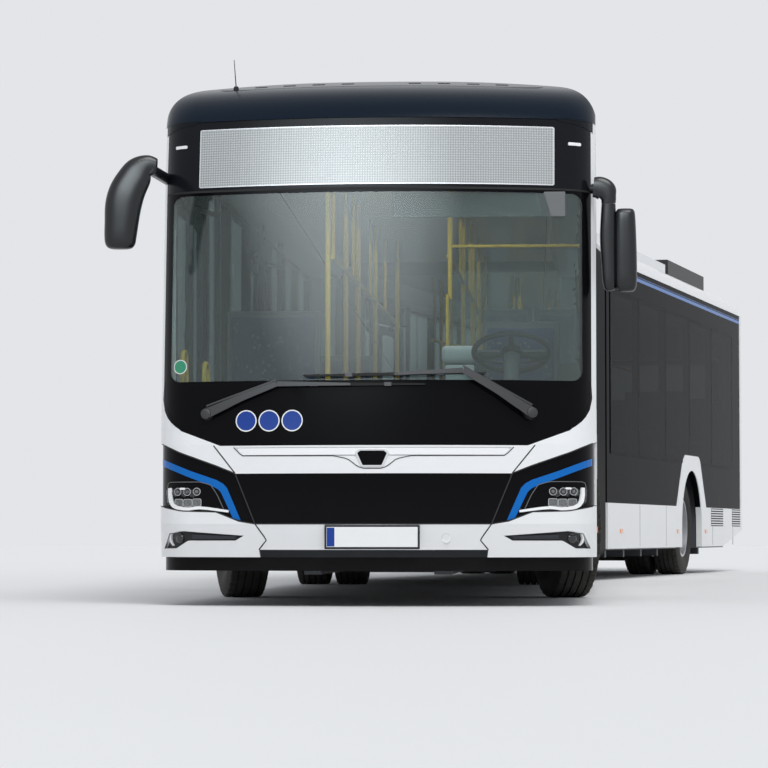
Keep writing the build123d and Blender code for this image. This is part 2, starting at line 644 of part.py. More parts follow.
tail_curve = [
    (TRAIL_JOIN - 150, 2800), (TRAIL_END, 2800), (TRAIL_END, 2960), (TRAIL_END - 25, 3030),
    (TRAIL_END - 80, 3090), (TRAIL_END - 160, 3130), (TRAIL_JOIN - 150, 3160),
]
roof_end = roof_end & prism_x(tail_curve, -CUT_OUT, CUT_OUT)
shell = shell + roof_end + block(-1100, 1100, TRAIL_END - 70, TRAIL_END + 15, 500, 640)
shell = shell - both(LAMP_IN, LAMP_OUT, TRAIL_END - 25, TRAIL_END + 30, 700, 1320)
shell = shell - both(LAMP_IN, LAMP_OUT, TRAIL_END - 25, TRAIL_END + 30, 2560, 2680)
save("rear_panel", shell, TRAIL)
tail = []
for side in (-1, 1):
    for z0 in (705, 830, 955, 1080, 1205, 2565):
        tail.append(side_block(side, LAMP_IN + 2, LAMP_OUT - 2, TRAIL_END - 25, TRAIL_END - 4, z0, z0 + 110))
save("tail_lamps", join(tail), TRAIL)
rear_panes = glazing(TRAIL_LEFT, TRAIL_RIGHT, (AXLE_3,))
rear_panes.append(block(-window_half, window_half, TRAIL_END - 40, TRAIL_END - 32, window_low, window_high))
save("rear_glazing", join(rear_panes), TRAIL)
motor = block(-WALL_IN + 62, WALL_IN - 62, REAR_FLOOR_END, TRAIL_END - 70, 490, 1150)
motor = motor + block(-WALL_IN + 62, WALL_IN - 62, REAR_FLOOR_END, REAR_FLOOR_END + 200, SLAB_Z, 490)
save("rear_equipment", motor, TRAIL)


# WHEELS: profiles are distance along the axle from the wheel's plane, then radius
def turned(profile):
    face = Face(Wire.make_polygon([Vector(a, r, 0) for a, r in profile], close=True))
    return Solid.revolve(face, 360, Axis.X)


RIM_HALF = 104
FLANGE_R = BEAD_R + 14
TYRE_HALF = 137.5
TREAD_HALF = 119
TYRE = [
    (-RIM_HALF, BEAD_R), (-RIM_HALF, FLANGE_R), (-TYRE_HALF, FLANGE_R + 70), (-TREAD_HALF, TYRE_R),
    (TREAD_HALF, TYRE_R), (TYRE_HALF, FLANGE_R + 70), (RIM_HALF, FLANGE_R), (RIM_HALF, BEAD_R),
]
HUB_R = 45
DRIVE_HUB_R = 60
PIN_GAP = 0.05


def barrel(a0, a1):
    inner = BEAD_R - 10
    return turned([
        (a0 - 8, FLANGE_R), (a0, FLANGE_R), (a0, BEAD_R), (a1, BEAD_R), (a1, FLANGE_R), (a1 + 8, FLANGE_R),
        (a1 + 8, inner), (a0 - 8, inner),
    ])


def hand_holes(a0, a1):
    holes = []
    for i in range(8):
        angle = math.radians(45 * i + 22.5)
        y = 200 * math.cos(angle)
        z = 200 * math.sin(angle)
        holes.append(rod((a0, y, z), (a1, y, z), 30))
    return holes


tyre = turned(TYRE)
front_rim = barrel(-RIM_HALF, RIM_HALF)
front_disc = [(62, BEAD_R - 10), (92, 196), (92, 110), (76, 110), (76, 190), (48, BEAD_R - 10)]
front_rim = front_rim + turned(front_disc)
front_rim = front_rim + rod((-55, 0, 0), (92, 0, 0), 118) + rod((92, 0, 0), (130, 0, 0), 82)
front_rim = front_rim - rod((-60, 0, 0), (40, 0, 0), HUB_R + PIN_GAP)
for hole in hand_holes(40, 120):
    front_rim = front_rim - hole

twin_rim = barrel(TWIN_STEP - RIM_HALF, TWIN_STEP + RIM_HALF)
twin_rim = twin_rim + barrel(-TWIN_STEP - RIM_HALF, -TWIN_STEP + RIM_HALF)
twin_disc = [(-60, BEAD_R), (60, BEAD_R), (60, 262), (12, 262), (12, 100), (-12, 100), (-12, 262), (-60, 262)]
twin_rim = twin_rim + turned(twin_disc)
twin_rim = twin_rim + rod((-200, 0, 0), (60, 0, 0), 118) + rod((60, 0, 0), (150, 0, 0), 95)
twin_rim = twin_rim - rod((-210, 0, 0), (20, 0, 0), DRIVE_HUB_R + PIN_GAP)
for hole in hand_holes(-40, 40):
    twin_rim = twin_rim - hole
twin_tyres = (Pos(TWIN_STEP, 0, 0) * tyre) + (Pos(-TWIN_STEP, 0, 0) * tyre)

PIN_HALF = 128
PIN_R = 30
EYE_THICK = 40
EYE_GAP = 0.5
for side, label in ((1, "left"), (-1, "right")):
    facing = Rot(0, 0, 0 if side > 0 else 180)
    turn = Pos(side * KINGPIN_X, AXLE_1, 0) * Rot(0, 0, STEER) * Pos(-side * KINGPIN_X, -AXLE_1, 0)
    hub = Pos(side * WHEEL_X, AXLE_1, WHEEL_Z) * facing
    save("tyre_1_" + label, turn * hub * tyre)
    save("rim_1_" + label, turn * hub * front_rim)
    low = WHEEL_Z - PIN_HALF
    high = WHEEL_Z + PIN_HALF
    pin = rod((side * KINGPIN_X, AXLE_1, low), (side * KINGPIN_X, AXLE_1, high), PIN_R)
    post_low = low + EYE_THICK + EYE_GAP
    post_high = high - EYE_THICK - EYE_GAP
    post = rod((side * KINGPIN_X, AXLE_1, post_low), (side * KINGPIN_X, AXLE_1, post_high), 40)
    stub = rod((side * KINGPIN_X, AXLE_1, WHEEL_Z), (side * (WHEEL_X + 20), AXLE_1, WHEEL_Z), HUB_R)
    save("knuckle_" + label, turn * (pin + post + stub))
    hub = Pos(side * TWIN_X, AXLE_2, WHEEL_Z) * facing
    save("tyres_2_" + label, hub * twin_tyres)
    save("rims_2_" + label, hub * twin_rim)
    hub = Pos(side * TWIN_X, AXLE_3, WHEEL_Z) * facing
    save("tyres_3_" + label, hub * twin_tyres, TRAIL)
    save("rims_3_" + label, hub * twin_rim, TRAIL)

# AXLES: a dropped steering beam, and two portal beams between the twin wheels
BEAM_TOP = SLAB_Z - 8
EYE_IN = KINGPIN_X - 65
FIST = KINGPIN_X - 47
half_beam = [
    (0, BEAM_TOP - 97), (600, BEAM_TOP - 97), (FIST - 98, WHEEL_Z - PIN_HALF), (FIST, WHEEL_Z - PIN_HALF),
    (FIST, WHEEL_Z + PIN_HALF), (FIST - 48, WHEEL_Z + PIN_HALF), (740, WHEEL_Z + 42), (560, BEAM_TOP),
    (0, BEAM_TOP),
]
LINK_X = (BEAM_IN + BEAM_OUT) / 2


# Spring pad under the long beam with a link at each end
def beam_seat(side, y, half):
    piece = side_block(side, LINK_X - 60, LINK_X + 60, y - half, y + half, CROSS_LOW, SLAB_Z)
    return piece + side_block(side, LINK_X - 25, LINK_X + 25, y - 140, y + 140, 205, 245)


beam = prism_y(half_beam, AXLE_1 - 55, AXLE_1 + 55) + prism_y(mirror_x(half_beam), AXLE_1 - 55, AXLE_1 + 55)
for side in (-1, 1):
    for z0 in (WHEEL_Z - PIN_HALF, WHEEL_Z + PIN_HALF - EYE_THICK):
        beam = beam + side_block(side, EYE_IN, KINGPIN_X + 40, AXLE_1 - 40, AXLE_1 + 40, z0, z0 + EYE_THICK)
    pin_hole = rod((side * KINGPIN_X, AXLE_1, 340), (side * KINGPIN_X, AXLE_1, 620), PIN_R + PIN_GAP)
    beam = beam - pin_hole
    beam = beam + beam_seat(side, AXLE_1, 90)
save("axle_1", beam)


def portal_axle(y):
    inner_face = TWIN_X - TWIN_STEP - TYRE_HALF - 6
    whole = block(-inner_face, inner_face, y - 80, y + 80, 140, BEAM_TOP)
    for side in (-1, 1):
        whole = whole + side_block(side, inner_face - 26, inner_face, y - 110, y + 110, 140, 600)
        hub_in = side * (inner_face - 6)
        hub_out = side * (TWIN_X + 10)
        whole = whole + rod((hub_in, y, WHEEL_Z), (hub_out, y, WHEEL_Z), DRIVE_HUB_R)
        whole = whole + beam_seat(side, y, 100)
    return whole


save("axle_2", portal_axle(AXLE_2))
save("axle_3", portal_axle(AXLE_3), TRAIL)

# DOORS: each leaf is pinned at its top and bottom edge to the arms of a turning post, and glides inward
ARM_THICK = 22
ARM_Z = (FLOOR_Z + 8, DOOR_HIGH)
LEAF_RAIL = 55
LEAF_TOP = DOOR_HIGH - 10
POST_R = 22
ARM_PIN_R = 12
ARM_HALF = 16


def door(name, low, high, place):
    width = (high - low - MEETING_GAP) / 2 - DOOR_GAP
    for way, label in ((1, "front"), (-1, "rear")):
        jamb = low + DOOR_GAP if way > 0 else high - DOOR_GAP
        y_mid = jamb + way * width / 2
        post_y = jamb - way * POST_BACK
        l0 = min(jamb, jamb + way * width)
        l1 = l0 + width
        g0 = l0 + LEAF_RAIL
        g1 = l1 - LEAF_RAIL
        leaf = block(LEAF_OUT, LEAF_IN, l0, l1, LEAF_LOW, LEAF_TOP)
        leaf = leaf - block(LEAF_OUT - 5, LEAF_IN + 5, g0, g1, LEAF_LOW + 95, LEAF_TOP - 90)
        leaf = leaf + block(LEAF_OUT + 2, LEAF_OUT + 10, g0 - 5, g1 + 5, LEAF_LOW + 90, LEAF_TOP - 85)
        post = rod((POST_X, post_y, FLOOR_Z + 0.5), (POST_X, post_y, COVING - 0.5), POST_R)
        slope = Vector(POST_X - PIVOT_X, post_y - y_mid, 0).normalized() * ARM_HALF
        for z, into in zip(ARM_Z, (1, -1)):
            corners = [
                (PIVOT_X - slope.Y, y_mid + slope.X), (POST_X - slope.Y, post_y + slope.X),
                (POST_X + slope.Y, post_y - slope.X), (PIVOT_X + slope.Y, y_mid - slope.X),
            ]
            post = post + prism_z(corners, z, z + ARM_THICK)
            post = post + rod((PIVOT_X, y_mid, z), (PIVOT_X, y_mid, z + ARM_THICK), ARM_HALF)
            edge = LEAF_LOW if into > 0 else LEAF_TOP
            pin_low = min(z + ARM_THICK / 2, edge + into * 34)
            pin_high = max(z + ARM_THICK / 2, edge + into * 34)
            post = post + rod((PIVOT_X, y_mid, pin_low), (PIVOT_X, y_mid, pin_high), ARM_PIN_R)
            eye_low = min(edge, edge + into * 40)
            eye_high = max(edge, edge + into * 40)
            bracket = block(LEAF_IN - 4, PIVOT_X + 22, y_mid - 26, y_mid + 26, eye_low, eye_high)
            bore = rod((PIVOT_X, y_mid, edge - 36), (PIVOT_X, y_mid, edge + 36), ARM_PIN_R + PIN_GAP)
            leaf = leaf + bracket - bore
        save(name + "_" + label + "_post", post, place)
        save(name + "_" + label + "_leaf", leaf, place)


for name, where, low, high in DOORS:
    door(name, low, high, SHIFT if where == "front" else TRAIL)

# BELLOWS: hoops round a shallow curve, large and small in turn
FOLDS = 11
FOLD_DEPTH = 62
BELLOWS_WALL = 26


def hoop(u, inset):
    angle = math.radians(BEND) * u
    radius = HALF_JOINT / math.tan(math.radians(BEND) / 2)
    cx = radius - radius * math.cos(angle)
    cy = PIVOT_Y - HALF_JOINT + radius * math.sin(angle)
    x_dir = (math.cos(angle), -math.sin(angle), 0)
    plane = Plane(origin=(cx, cy, 0), x_dir=x_dir, z_dir=(-math.sin(angle), -math.cos(angle), 0))
    half = WALL_OUT - 5 - inset
    low = 120 + inset
    high = SHOULDER_Z - 28 - inset
    corner = 150
    points = whole_outline([
        (half - corner, high), (half, high - corner), (half, low + corner), (half - corner, low),
    ])
    return Wire.make_polygon([plane.from_local_coords(Vector(x, z, 0)) for x, z in points], close=True)


outer_hoops = []
inner_hoops = []
for k in range(2 * FOLDS + 1):
    inset = 0 if k % 2 else FOLD_DEPTH
    outer_hoops.append(hoop(k / (2 * FOLDS), inset))
    inner_hoops.append(hoop(k / (2 * FOLDS), inset + BELLOWS_WALL))
save("bellows", Solid.make_loft(outer_hoops, ruled=True) - Solid.make_loft(inner_hoops, ruled=True))

# MIRRORS: outlines as distance out from the side and z
DOOR_SIDE_MIRROR = [
    (-57, 2574), (37, 2594), (103, 2575), (169, 2510), (226, 2426), (253, 2332), (261, 2202), (261, 2090),
    (242, 2055), (176, 2047), (101, 2051), (77, 2088), (64, 2200), (46, 2312), (-1, 2453), (-57, 2465),
]
CAB_SIDE_ARM = [
    (-75, 2490), (49, 2503), (90, 2488), (110, 2465), (122, 2125), (122, 1828), (93, 1828), (58, 1851),
    (24, 2126), (37, 2336), (-10, 2366), (-75, 2380),
]
CAB_SIDE_HEAD = [
    (112, 2307), (164, 2306), (199, 2294), (222, 2265), (239, 1979), (238, 1879), (209, 1839), (139, 1822),
    (112, 1825),
]


def out_from(side, outline):
    return [(side * (HALF_WIDTH + out), z) for out, z in outline]


def round_front_and_back(shape, radius):
    faces = shape.faces().sort_by(Axis.Y)
    return fillet(faces[0].edges() + faces[-1].edges(), radius)


mirrors = round_front_and_back(prism_y(out_from(-1, DOOR_SIDE_MIRROR), -110, 40), 16)
bracket_plan = [(65, -70), (-25, -70), (-60, 560), (5, 560), (25, 300)]
mirrors = mirrors + prism_z([(-(HALF_WIDTH + out), y) for out, y in bracket_plan], 2480, 2540)
mirrors = mirrors + prism_y(out_from(1, CAB_SIDE_ARM), 400, 470)
mirrors = mirrors + round_front_and_back(prism_y(out_from(1, CAB_SIDE_HEAD), 380, 500), 14)
body_front = front_body(-0.3, SKIN_FLAT, 0, SCREEN_TOP, SCREEN_BACK)
body_front = body_front + front_body(-0.3, SCREEN_TOP, SCREEN_BACK, SIGN_TOP, SIGN_BACK)
save("mirrors", mirrors - body_front)


# WIPERS: pivot, elbow, end of the holder, blade ends, as x, z on the screen
def on_screen(x, z, out):
    if abs(x) < BOW_END:
        bow = BOW_R - math.sqrt(BOW_R ** 2 - x ** 2)
    else:
        bow = CORNER_Y - math.sqrt(CORNER_R ** 2 - (abs(x) - CORNER_X) ** 2)
    return (x, setback(z) + bow - out, z)


WIPERS = [
    [(-961, 1108), (-547, 1276), (-280, 1278), (-547, 1271), (300, 1271)],
    [(896, 1108), (510, 1349), (200, 1352), (640, 1335), (-389, 1320)],
]
BLADE_STEPS = 6
wiper_pieces = []
for number, (pivot, elbow, holder, start, end) in enumerate(WIPERS):
    out = 22 + 30 * number
    wiper_pieces.append(rod(on_screen(*pivot, -1), on_screen(*pivot, out + 12), 26))
    wiper_pieces.append(rod(on_screen(*pivot, out), on_screen(*elbow, out), 12))
    wiper_pieces.append(rod(on_screen(*elbow, out), on_screen(*holder, out), 9))
    at = []
    for i in range(BLADE_STEPS + 1):
        share = i / BLADE_STEPS
        at.append((start[0] + (end[0] - start[0]) * share, start[1] + (end[1] - start[1]) * share))
    for a, b in zip(at, at[1:]):
        wiper_pieces.append(rod(on_screen(*a, out), on_screen(*b, out), 10))
screen_solid = front_body(0.2, SKIN_FLAT - 30, 0, SKIN_FLAT, 0)
screen_solid = screen_solid + front_body(0.2, SKIN_FLAT, 0, SCREEN_TOP, SCREEN_BACK)
save("wipers", join(wiper_pieces) - screen_solid)

# CAB: dashboard, shelf, steering column and wheel, partition and ticket machine
DASH_INSET = 92
CAB_SIDE = DECK_HALF - 5
DRIVER_X = 770
STEER_Y = 900
STEER_Z = 1500
cab_space = front_body(DASH_INSET, CAB_FLOOR, 0, 1300, 36)
dash_side = [
    (330, CAB_FLOOR), (300, 1050), (380, 1190), (700, 1230), (760, 1180), (720, 900), (620, 860),
    (600, CAB_FLOOR),
]
dash = prism_x(dash_side, BEAM_IN, CAB_SIDE) & cab_space
shelf_side = [(180, 900), (150, 1120), (230, 1160), (420, 1130), (440, 900)]
shelf = prism_x(shelf_side, -1060, BEAM_IN + 10) & cab_space
stand = block(-1000, BEAM_IN, 300, 400, FLOOR_Z, 1000) & front_body(SKIN_THICK + 1, 300, 0, 1300, 0)
column = rod((DRIVER_X, 640, 1150), (DRIVER_X, STEER_Y, STEER_Z), 45)
wheel_plane = Plane(origin=(DRIVER_X, STEER_Y, STEER_Z), z_dir=(0, 0.45, 0.9))
wheel_ring = Solid.make_torus(225, 16, wheel_plane)
spokes = wheel_plane.location * (Box(440, 40, 16) + Box(40, 440, 16) + Cylinder(60, 30))
partition = block(BEAM_IN, CAB_SIDE, CAB_END - 40, CAB_END, CAB_FLOOR, 1500)
partition = partition + block(BEAM_IN, BEAM_IN + 50, 1500, CAB_END, CAB_FLOOR, 1420)
ticket = block(BEAM_IN, BEAM_IN + 215, 1150, 1500, CAB_FLOOR, 1250)
ticket = ticket + block(BEAM_IN + 20, BEAM_IN + 210, 1180, 1420, 1250, 1450)
save("driver_cab", gather([dash + shelf + stand + column + wheel_ring + spokes, partition + ticket]))

# SEATS: side (1 is the driver's), y of the seat's middle, height of its base, facing (1 looks forward), width
SEAT_GAP = 20
PODIUM = HOUSE_TOP + HOUSE_WALL
PAIR = 860
PODIUM_PAIR = 620
ROW_1 = AXLE_1 + 1125
ROW_4 = AXLE_2 - 1580
FRONT_SEATS = [
    (1, AXLE_1 - 275, PODIUM, 1, PODIUM_PAIR), (-1, AXLE_1 - 215, PODIUM, 1, PODIUM_PAIR),
    (1, AXLE_1 + 325, PODIUM, -1, PODIUM_PAIR),
    (-1, DOOR_2_HIGH + 650, FLOOR_Z, 1, PAIR),
    (1, AXLE_2 - 280, PODIUM, 1, PODIUM_PAIR), (-1, AXLE_2 - 280, PODIUM, 1, PODIUM_PAIR),
    (1, AXLE_2 + 320, PODIUM, -1, PODIUM_PAIR), (-1, AXLE_2 + 320, PODIUM, -1, PODIUM_PAIR),
]
for i in range(4):
    FRONT_SEATS.append((1, ROW_1 + i * (ROW_4 - ROW_1) / 3, FLOOR_Z, 1, PAIR))
REAR_SEATS = [
    (-1, DOOR_3_HIGH + 960, FLOOR_Z, 1, PAIR),
    (1, AXLE_3 - 265, PODIUM, 1, PODIUM_PAIR), (-1, AXLE_3 - 265, PODIUM, 1, PODIUM_PAIR),
    (1, AXLE_3 + 335, PODIUM, -1, PODIUM_PAIR), (-1, AXLE_3 + 335, PODIUM, -1, PODIUM_PAIR),
    (1, REAR_FLOOR_END - 800, FLOOR_Z, 1, PAIR), (-1, REAR_FLOOR_END - 800, FLOOR_Z, 1, PAIR),
]
for i in range(3):
    REAR_SEATS.append((1, 1500 + i * (AXLE_3 - 1865 - 1500) / 2, FLOOR_Z, 1, PAIR))


# Cushion, back and foot are bolted together
def seat_at(x, y, base, facing, width):
    lift = 440 if base < PODIUM - 50 else 120
    top = base + lift
    cushion = block(x - width / 2, x + width / 2, y - 220, y + 220, top, top + 80)
    b0 = y + facing * 170
    b1 = y + facing * 250
    back = block(x - width / 2, x + width / 2, min(b0, b1), max(b0, b1), top + 80, top + 680)
    foot = block(x - 60, x + 60, y - 120, y + 120, base, top)
    return [cushion, back, foot]


def seat(side, y, base, facing, width):
    return seat_at(side * (DECK_HALF - SEAT_GAP - width / 2), y, base, facing, width)


driver_seat = seat_at(DRIVER_X + 30, CAB_END - 450, CAB_FLOOR, 1, 500)
rear_bench = seat_at(0, REAR_FLOOR_END + 300, 1150, 1, 2 * (DECK_HALF - 85))
save("front_seats", gather(sum([seat(*row) for row in FRONT_SEATS], driver_seat)))
save("rear_seats", gather(sum([seat(*row) for row in REAR_SEATS], rear_bench)), TRAIL)

# HANDRAILS: x, y of each upright from floor to ceiling, then rails along the ceiling
RAIL_R = 17
AISLE_RIGHT = -420
AISLE_LEFT = 330
FRONT_POLES = [
    (-440, CAB_END - 10), (-440, AXLE_1 + 705), (AISLE_RIGHT, DOOR_2_LOW - 180),
    (AISLE_LEFT, DOOR_2_LOW - 180), (AISLE_RIGHT, DOOR_2_HIGH + 180), (AISLE_LEFT, DOOR_2_HIGH + 180),
    (AISLE_LEFT, AXLE_2 - 730), (-330, AXLE_2 - 730),
]
REAR_POLES = [
    (AISLE_RIGHT, DOOR_3_LOW - 150), (AISLE_LEFT, DOOR_3_LOW - 150), (AISLE_RIGHT, DOOR_3_HIGH + 160),
    (AISLE_LEFT, DOOR_3_HIGH + 160), (AISLE_LEFT, AXLE_3 - 815), (-330, AXLE_3 - 815),
]
RAIL_Z = 2200
HANGER_STEP = 1400


def rails(poles, y0, y1):
    pieces = []
    for x in (AISLE_RIGHT, AISLE_LEFT):
        pieces.append(rod((x, y0, RAIL_Z), (x, y1, RAIL_Z), 16))
        count = int((y1 - y0) // HANGER_STEP)
        for i in range(count + 1):
            y = y0 + 60 + (y1 - y0 - 120) * i / count
            pieces.append(rod((x, y, RAIL_Z), (x, y, CEILING), 12))
    for x, y in poles:
        pieces.append(rod((x, y, FLOOR_Z), (x, y, CEILING), RAIL_R))
    return join(pieces)


save("front_handrails", rails(FRONT_POLES, CAB_END + 100, FRONT_END - 390))
save("rear_handrails", rails(REAR_POLES, HALF_JOINT + 300, REAR_FLOOR_END - 300), TRAIL)
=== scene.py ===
# %% [markdown]
# # An articulated city bus
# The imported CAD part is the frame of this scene: every panel, wheel and door of it is already in
# its place. This lesson gives those pieces their real finishes and adds what is too fine for the
# CAD, such as tyre tread, lamp lenses, wiper blades, seat cushions and panel joints.

# %% Import the frame
import math

import bmesh
import bpy
from mathutils import Matrix, Vector


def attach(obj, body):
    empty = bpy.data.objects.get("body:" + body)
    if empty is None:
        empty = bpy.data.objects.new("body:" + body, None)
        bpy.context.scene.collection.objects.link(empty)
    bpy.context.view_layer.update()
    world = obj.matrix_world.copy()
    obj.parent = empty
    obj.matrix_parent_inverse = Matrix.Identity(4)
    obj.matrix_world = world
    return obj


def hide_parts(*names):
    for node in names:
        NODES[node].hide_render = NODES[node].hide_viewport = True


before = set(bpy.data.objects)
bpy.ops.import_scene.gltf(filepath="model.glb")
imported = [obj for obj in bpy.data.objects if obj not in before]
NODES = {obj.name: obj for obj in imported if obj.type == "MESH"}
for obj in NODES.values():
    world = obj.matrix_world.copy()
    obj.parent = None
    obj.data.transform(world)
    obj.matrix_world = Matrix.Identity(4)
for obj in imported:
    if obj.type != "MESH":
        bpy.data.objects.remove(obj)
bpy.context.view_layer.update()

# %% [markdown]
# The bus is measured from its front and its centre plane. The frame's origin is the middle of the
# whole box, so two numbers turn bus measures into the frame's. The trailing section is straight in
# its own measures and turned about the pivot. A home is the body a piece rides on and its place.

# %% Places on the bus
ORIGIN_X = 0.690
ORIGIN_Y = 9.007
PIVOT_Y = 9.690
BEND = math.radians(11.65)
STEER = math.radians(15.0)
FRONT = Matrix.Translation((-ORIGIN_X, -ORIGIN_Y, 0))
TRAIL = FRONT @ Matrix.Translation((0, PIVOT_Y, 0)) @ Matrix.Rotation(-BEND, 4, "Z")
FRONT_HOME = ("front_section", FRONT)
REAR_HOME = ("rear_section", TRAIL)

# %% [markdown]
# The camera stands low on the ground in front of the bus with a long lens. Its place was found by
# fitting known bus measures to points of the photograph.

# %% Camera
camera_data = bpy.data.cameras.new("photo_camera")
camera_data.sensor_width = 36
camera_data.lens = 142.1
camera_data.clip_end = 200
camera = bpy.data.objects.new("photo_camera", camera_data)
bpy.context.scene.collection.objects.link(camera)
camera.matrix_world = (
    FRONT
    @ Matrix.Translation((1.284, -17.214, 0.417))
    @ Matrix.Rotation(math.radians(4.04), 4, "Z")
    @ Matrix.Rotation(math.radians(90 + 2.83), 4, "X")
)
bpy.context.scene.camera = camera

# %% [markdown]
# Materials and lights are trees of nodes. These helpers add a node, set its numbers by name and
# link it in one line: an input that is given a socket is linked, and any other value is set.

# %% Helpers for node trees


def give(tree, socket, value):
    if isinstance(value, bpy.types.NodeSocket):
        tree.links.new(value, socket)
    else:
        socket.default_value = value


def feed(tree, node, **named):
    for key, value in named.items():
        give(tree, node.inputs[key.replace("_", " ")], value)


def add_node(tree, kind, *numbered, **named):
    node = tree.nodes.new(kind)
    for key, value in named.items():
        if hasattr(node, key):
            setattr(node, key, value)
        else:
            feed(tree, node, **{key: value})
    for socket, value in zip(node.inputs, numbered):
        give(tree, socket, value)
    return node


def math_of(tree, operation, *values):
    return add_node(tree, "ShaderNodeMath", *values, operation=operation).outputs[0]


def mix_of(tree, kind, factor, first, second):
    node = add_node(tree, "ShaderNodeMix", factor, data_type=kind)
    at = 6 if kind == "RGBA" else 2
    give(tree, node.inputs[at], first)
    give(tree, node.inputs[at + 1], second)
    return node.outputs[2 if kind == "RGBA" else 0]


def object_place(tree):
    return add_node(tree, "ShaderNodeTexCoord").outputs["Object"]


def new_material(name, **values):
    material = bpy.data.materials.new(name)
    material.use_nodes = True
    tree = material.node_tree
    shader = tree.nodes["Principled BSDF"]
    feed(tree, shader, **values)
    return material, tree, shader


def add_bump(tree, shader, height, distance):
    bump = add_node(tree, "ShaderNodeBump", Distance=distance, Height=height)
    feed(tree, shader, Normal=bump.outputs["Normal"])


# %% [markdown]
# The studio is a pale floor under a wide soft sun and an even sky, so that the floor has one tone
# out to the horizon. Rays from the camera, mirrors and glass see a background of that same tone.
# View transform Standard keeps colours as they are written.

# %% Studio
scene = bpy.context.scene
scene.view_settings.view_transform = "Standard"
world = bpy.data.worlds.new("studio_sky")
scene.world = world
world.use_nodes = True
sky = world.node_tree
lighting = sky.nodes["Background"]
feed(sky, lighting, Color=(0.90, 0.94, 1.0, 1), Strength=0.50)
backdrop = add_node(sky, "ShaderNodeBackground", Color=(0.768, 0.783, 0.807, 1))
rays = add_node(sky, "ShaderNodeLightPath")
seen = math_of(sky, "MAXIMUM", rays.outputs["Is Camera Ray"], rays.outputs["Is Glossy Ray"])
seen = math_of(sky, "MAXIMUM", seen, rays.outputs["Is Transmission Ray"])
choice = add_node(sky, "ShaderNodeMixShader", seen, lighting.outputs[0], backdrop.outputs[0])
feed(sky, sky.nodes["World Output"], Surface=choice.outputs[0])


def add_lamp(name, kind, place, target, power, size, depth=None, unseen=()):
    data = bpy.data.lights.new(name, kind)
    data.energy = power
    if kind == "SUN":
        data.angle = size
    else:
        data.shape = "RECTANGLE"
        data.size, data.size_y = size, depth
    lamp = bpy.data.objects.new(name, data)
    scene.collection.objects.link(lamp)
    way = Vector(target) - Vector(place)
    lamp.matrix_world = Matrix.Translation(place) @ way.to_track_quat("-Z", "Y").to_matrix().to_4x4()
    for sight in unseen:
        setattr(lamp, "visible_" + sight, False)
    return lamp


add_lamp("key", "SUN", (3, -9, 12), (0, 0, 0), 2.0, math.radians(35))
INSIDE = ("camera", "glossy", "transmission")
for name, place, target, power, size, depth in (
    ("front_cabin_light", (-0.69, -5.2, 2.60), (-0.69, -5.2, 0), 12, 1.5, 6.5),
    ("cab_light", (-0.60, -7.75, 2.55), (-0.60, -8.0, 0), 12, 2.0, 0.9),
    ("rear_cabin_light", (0.22, 4.2, 2.60), (0.22, 4.2, 0), 9, 1.3, 5.5),
):
    add_lamp(name, "AREA", place, target, power, size, depth, INSIDE)

# %% Floor
bpy.ops.object.select_all(action="DESELECT")
bpy.ops.mesh.primitive_plane_add(size=160, location=(0, 0, 0))
floor = bpy.context.active_object
floor.name = "studio_floor"
floor_paint = new_material("floor_paint", Base_Color=(0.80, 0.80, 0.80, 1), Roughness=0.7)[0]
floor.data.materials.append(floor_paint)

# %% [markdown]
# Dark gloss needs something to mirror. A wide lamp stands high in front of the bus, brightest at
# its middle, and only mirrors see it, so it adds a sheen to the screen and no light elsewhere.

# %% Lamp for the sheen on the screen
SHEEN_SIZE = (17.0, 8.4)
SHEEN_GLOW = 12.0
sheen_power = SHEEN_GLOW * SHEEN_SIZE[0] * SHEEN_SIZE[1] * math.pi
sheen = add_lamp("sheen", "AREA", (-3.6, -24.0, 8.6), (-0.69, -9.1, 1.9), sheen_power, *SHEEN_SIZE,
                 ("camera", "diffuse", "transmission"))
sheen.data.use_nodes = True
cloth = sheen.data.node_tree
over_lamp = add_node(cloth, "ShaderNodeNewGeometry").outputs["Parametric"]
centred = add_node(cloth, "ShaderNodeMapping", Vector=over_lamp, Location=(-1, -1, 0), Scale=(2, 2, 1))
fade = add_node(cloth, "ShaderNodeTexGradient", gradient_type="SPHERICAL", Vector=centred.outputs["Vector"])
feed(cloth, cloth.nodes["Emission"], Strength=fade.outputs["Fac"], Color=(0.86, 0.96, 1.0, 1))

# %% [markdown]
# Several finishes share the same small faults: paint that ripples, plastic that is grained and
# road dust that gathers low down. Each is a node group with named inputs, built once and placed
# in every material that needs it, so one change reaches all of them.

# %% A helper that makes node groups


def new_group(name, inputs, outputs):
    group = bpy.data.node_groups.new(name, "ShaderNodeTree")
    for label, kind, value in inputs:
        socket = group.interface.new_socket(name=label, in_out="INPUT", socket_type=kind)
        socket.default_value = value
    for label, kind in outputs:
        group.interface.new_socket(name=label, in_out="OUTPUT", socket_type=kind)
    return group, group.nodes.new("NodeGroupInput").outputs, group.nodes.new("NodeGroupOutput")


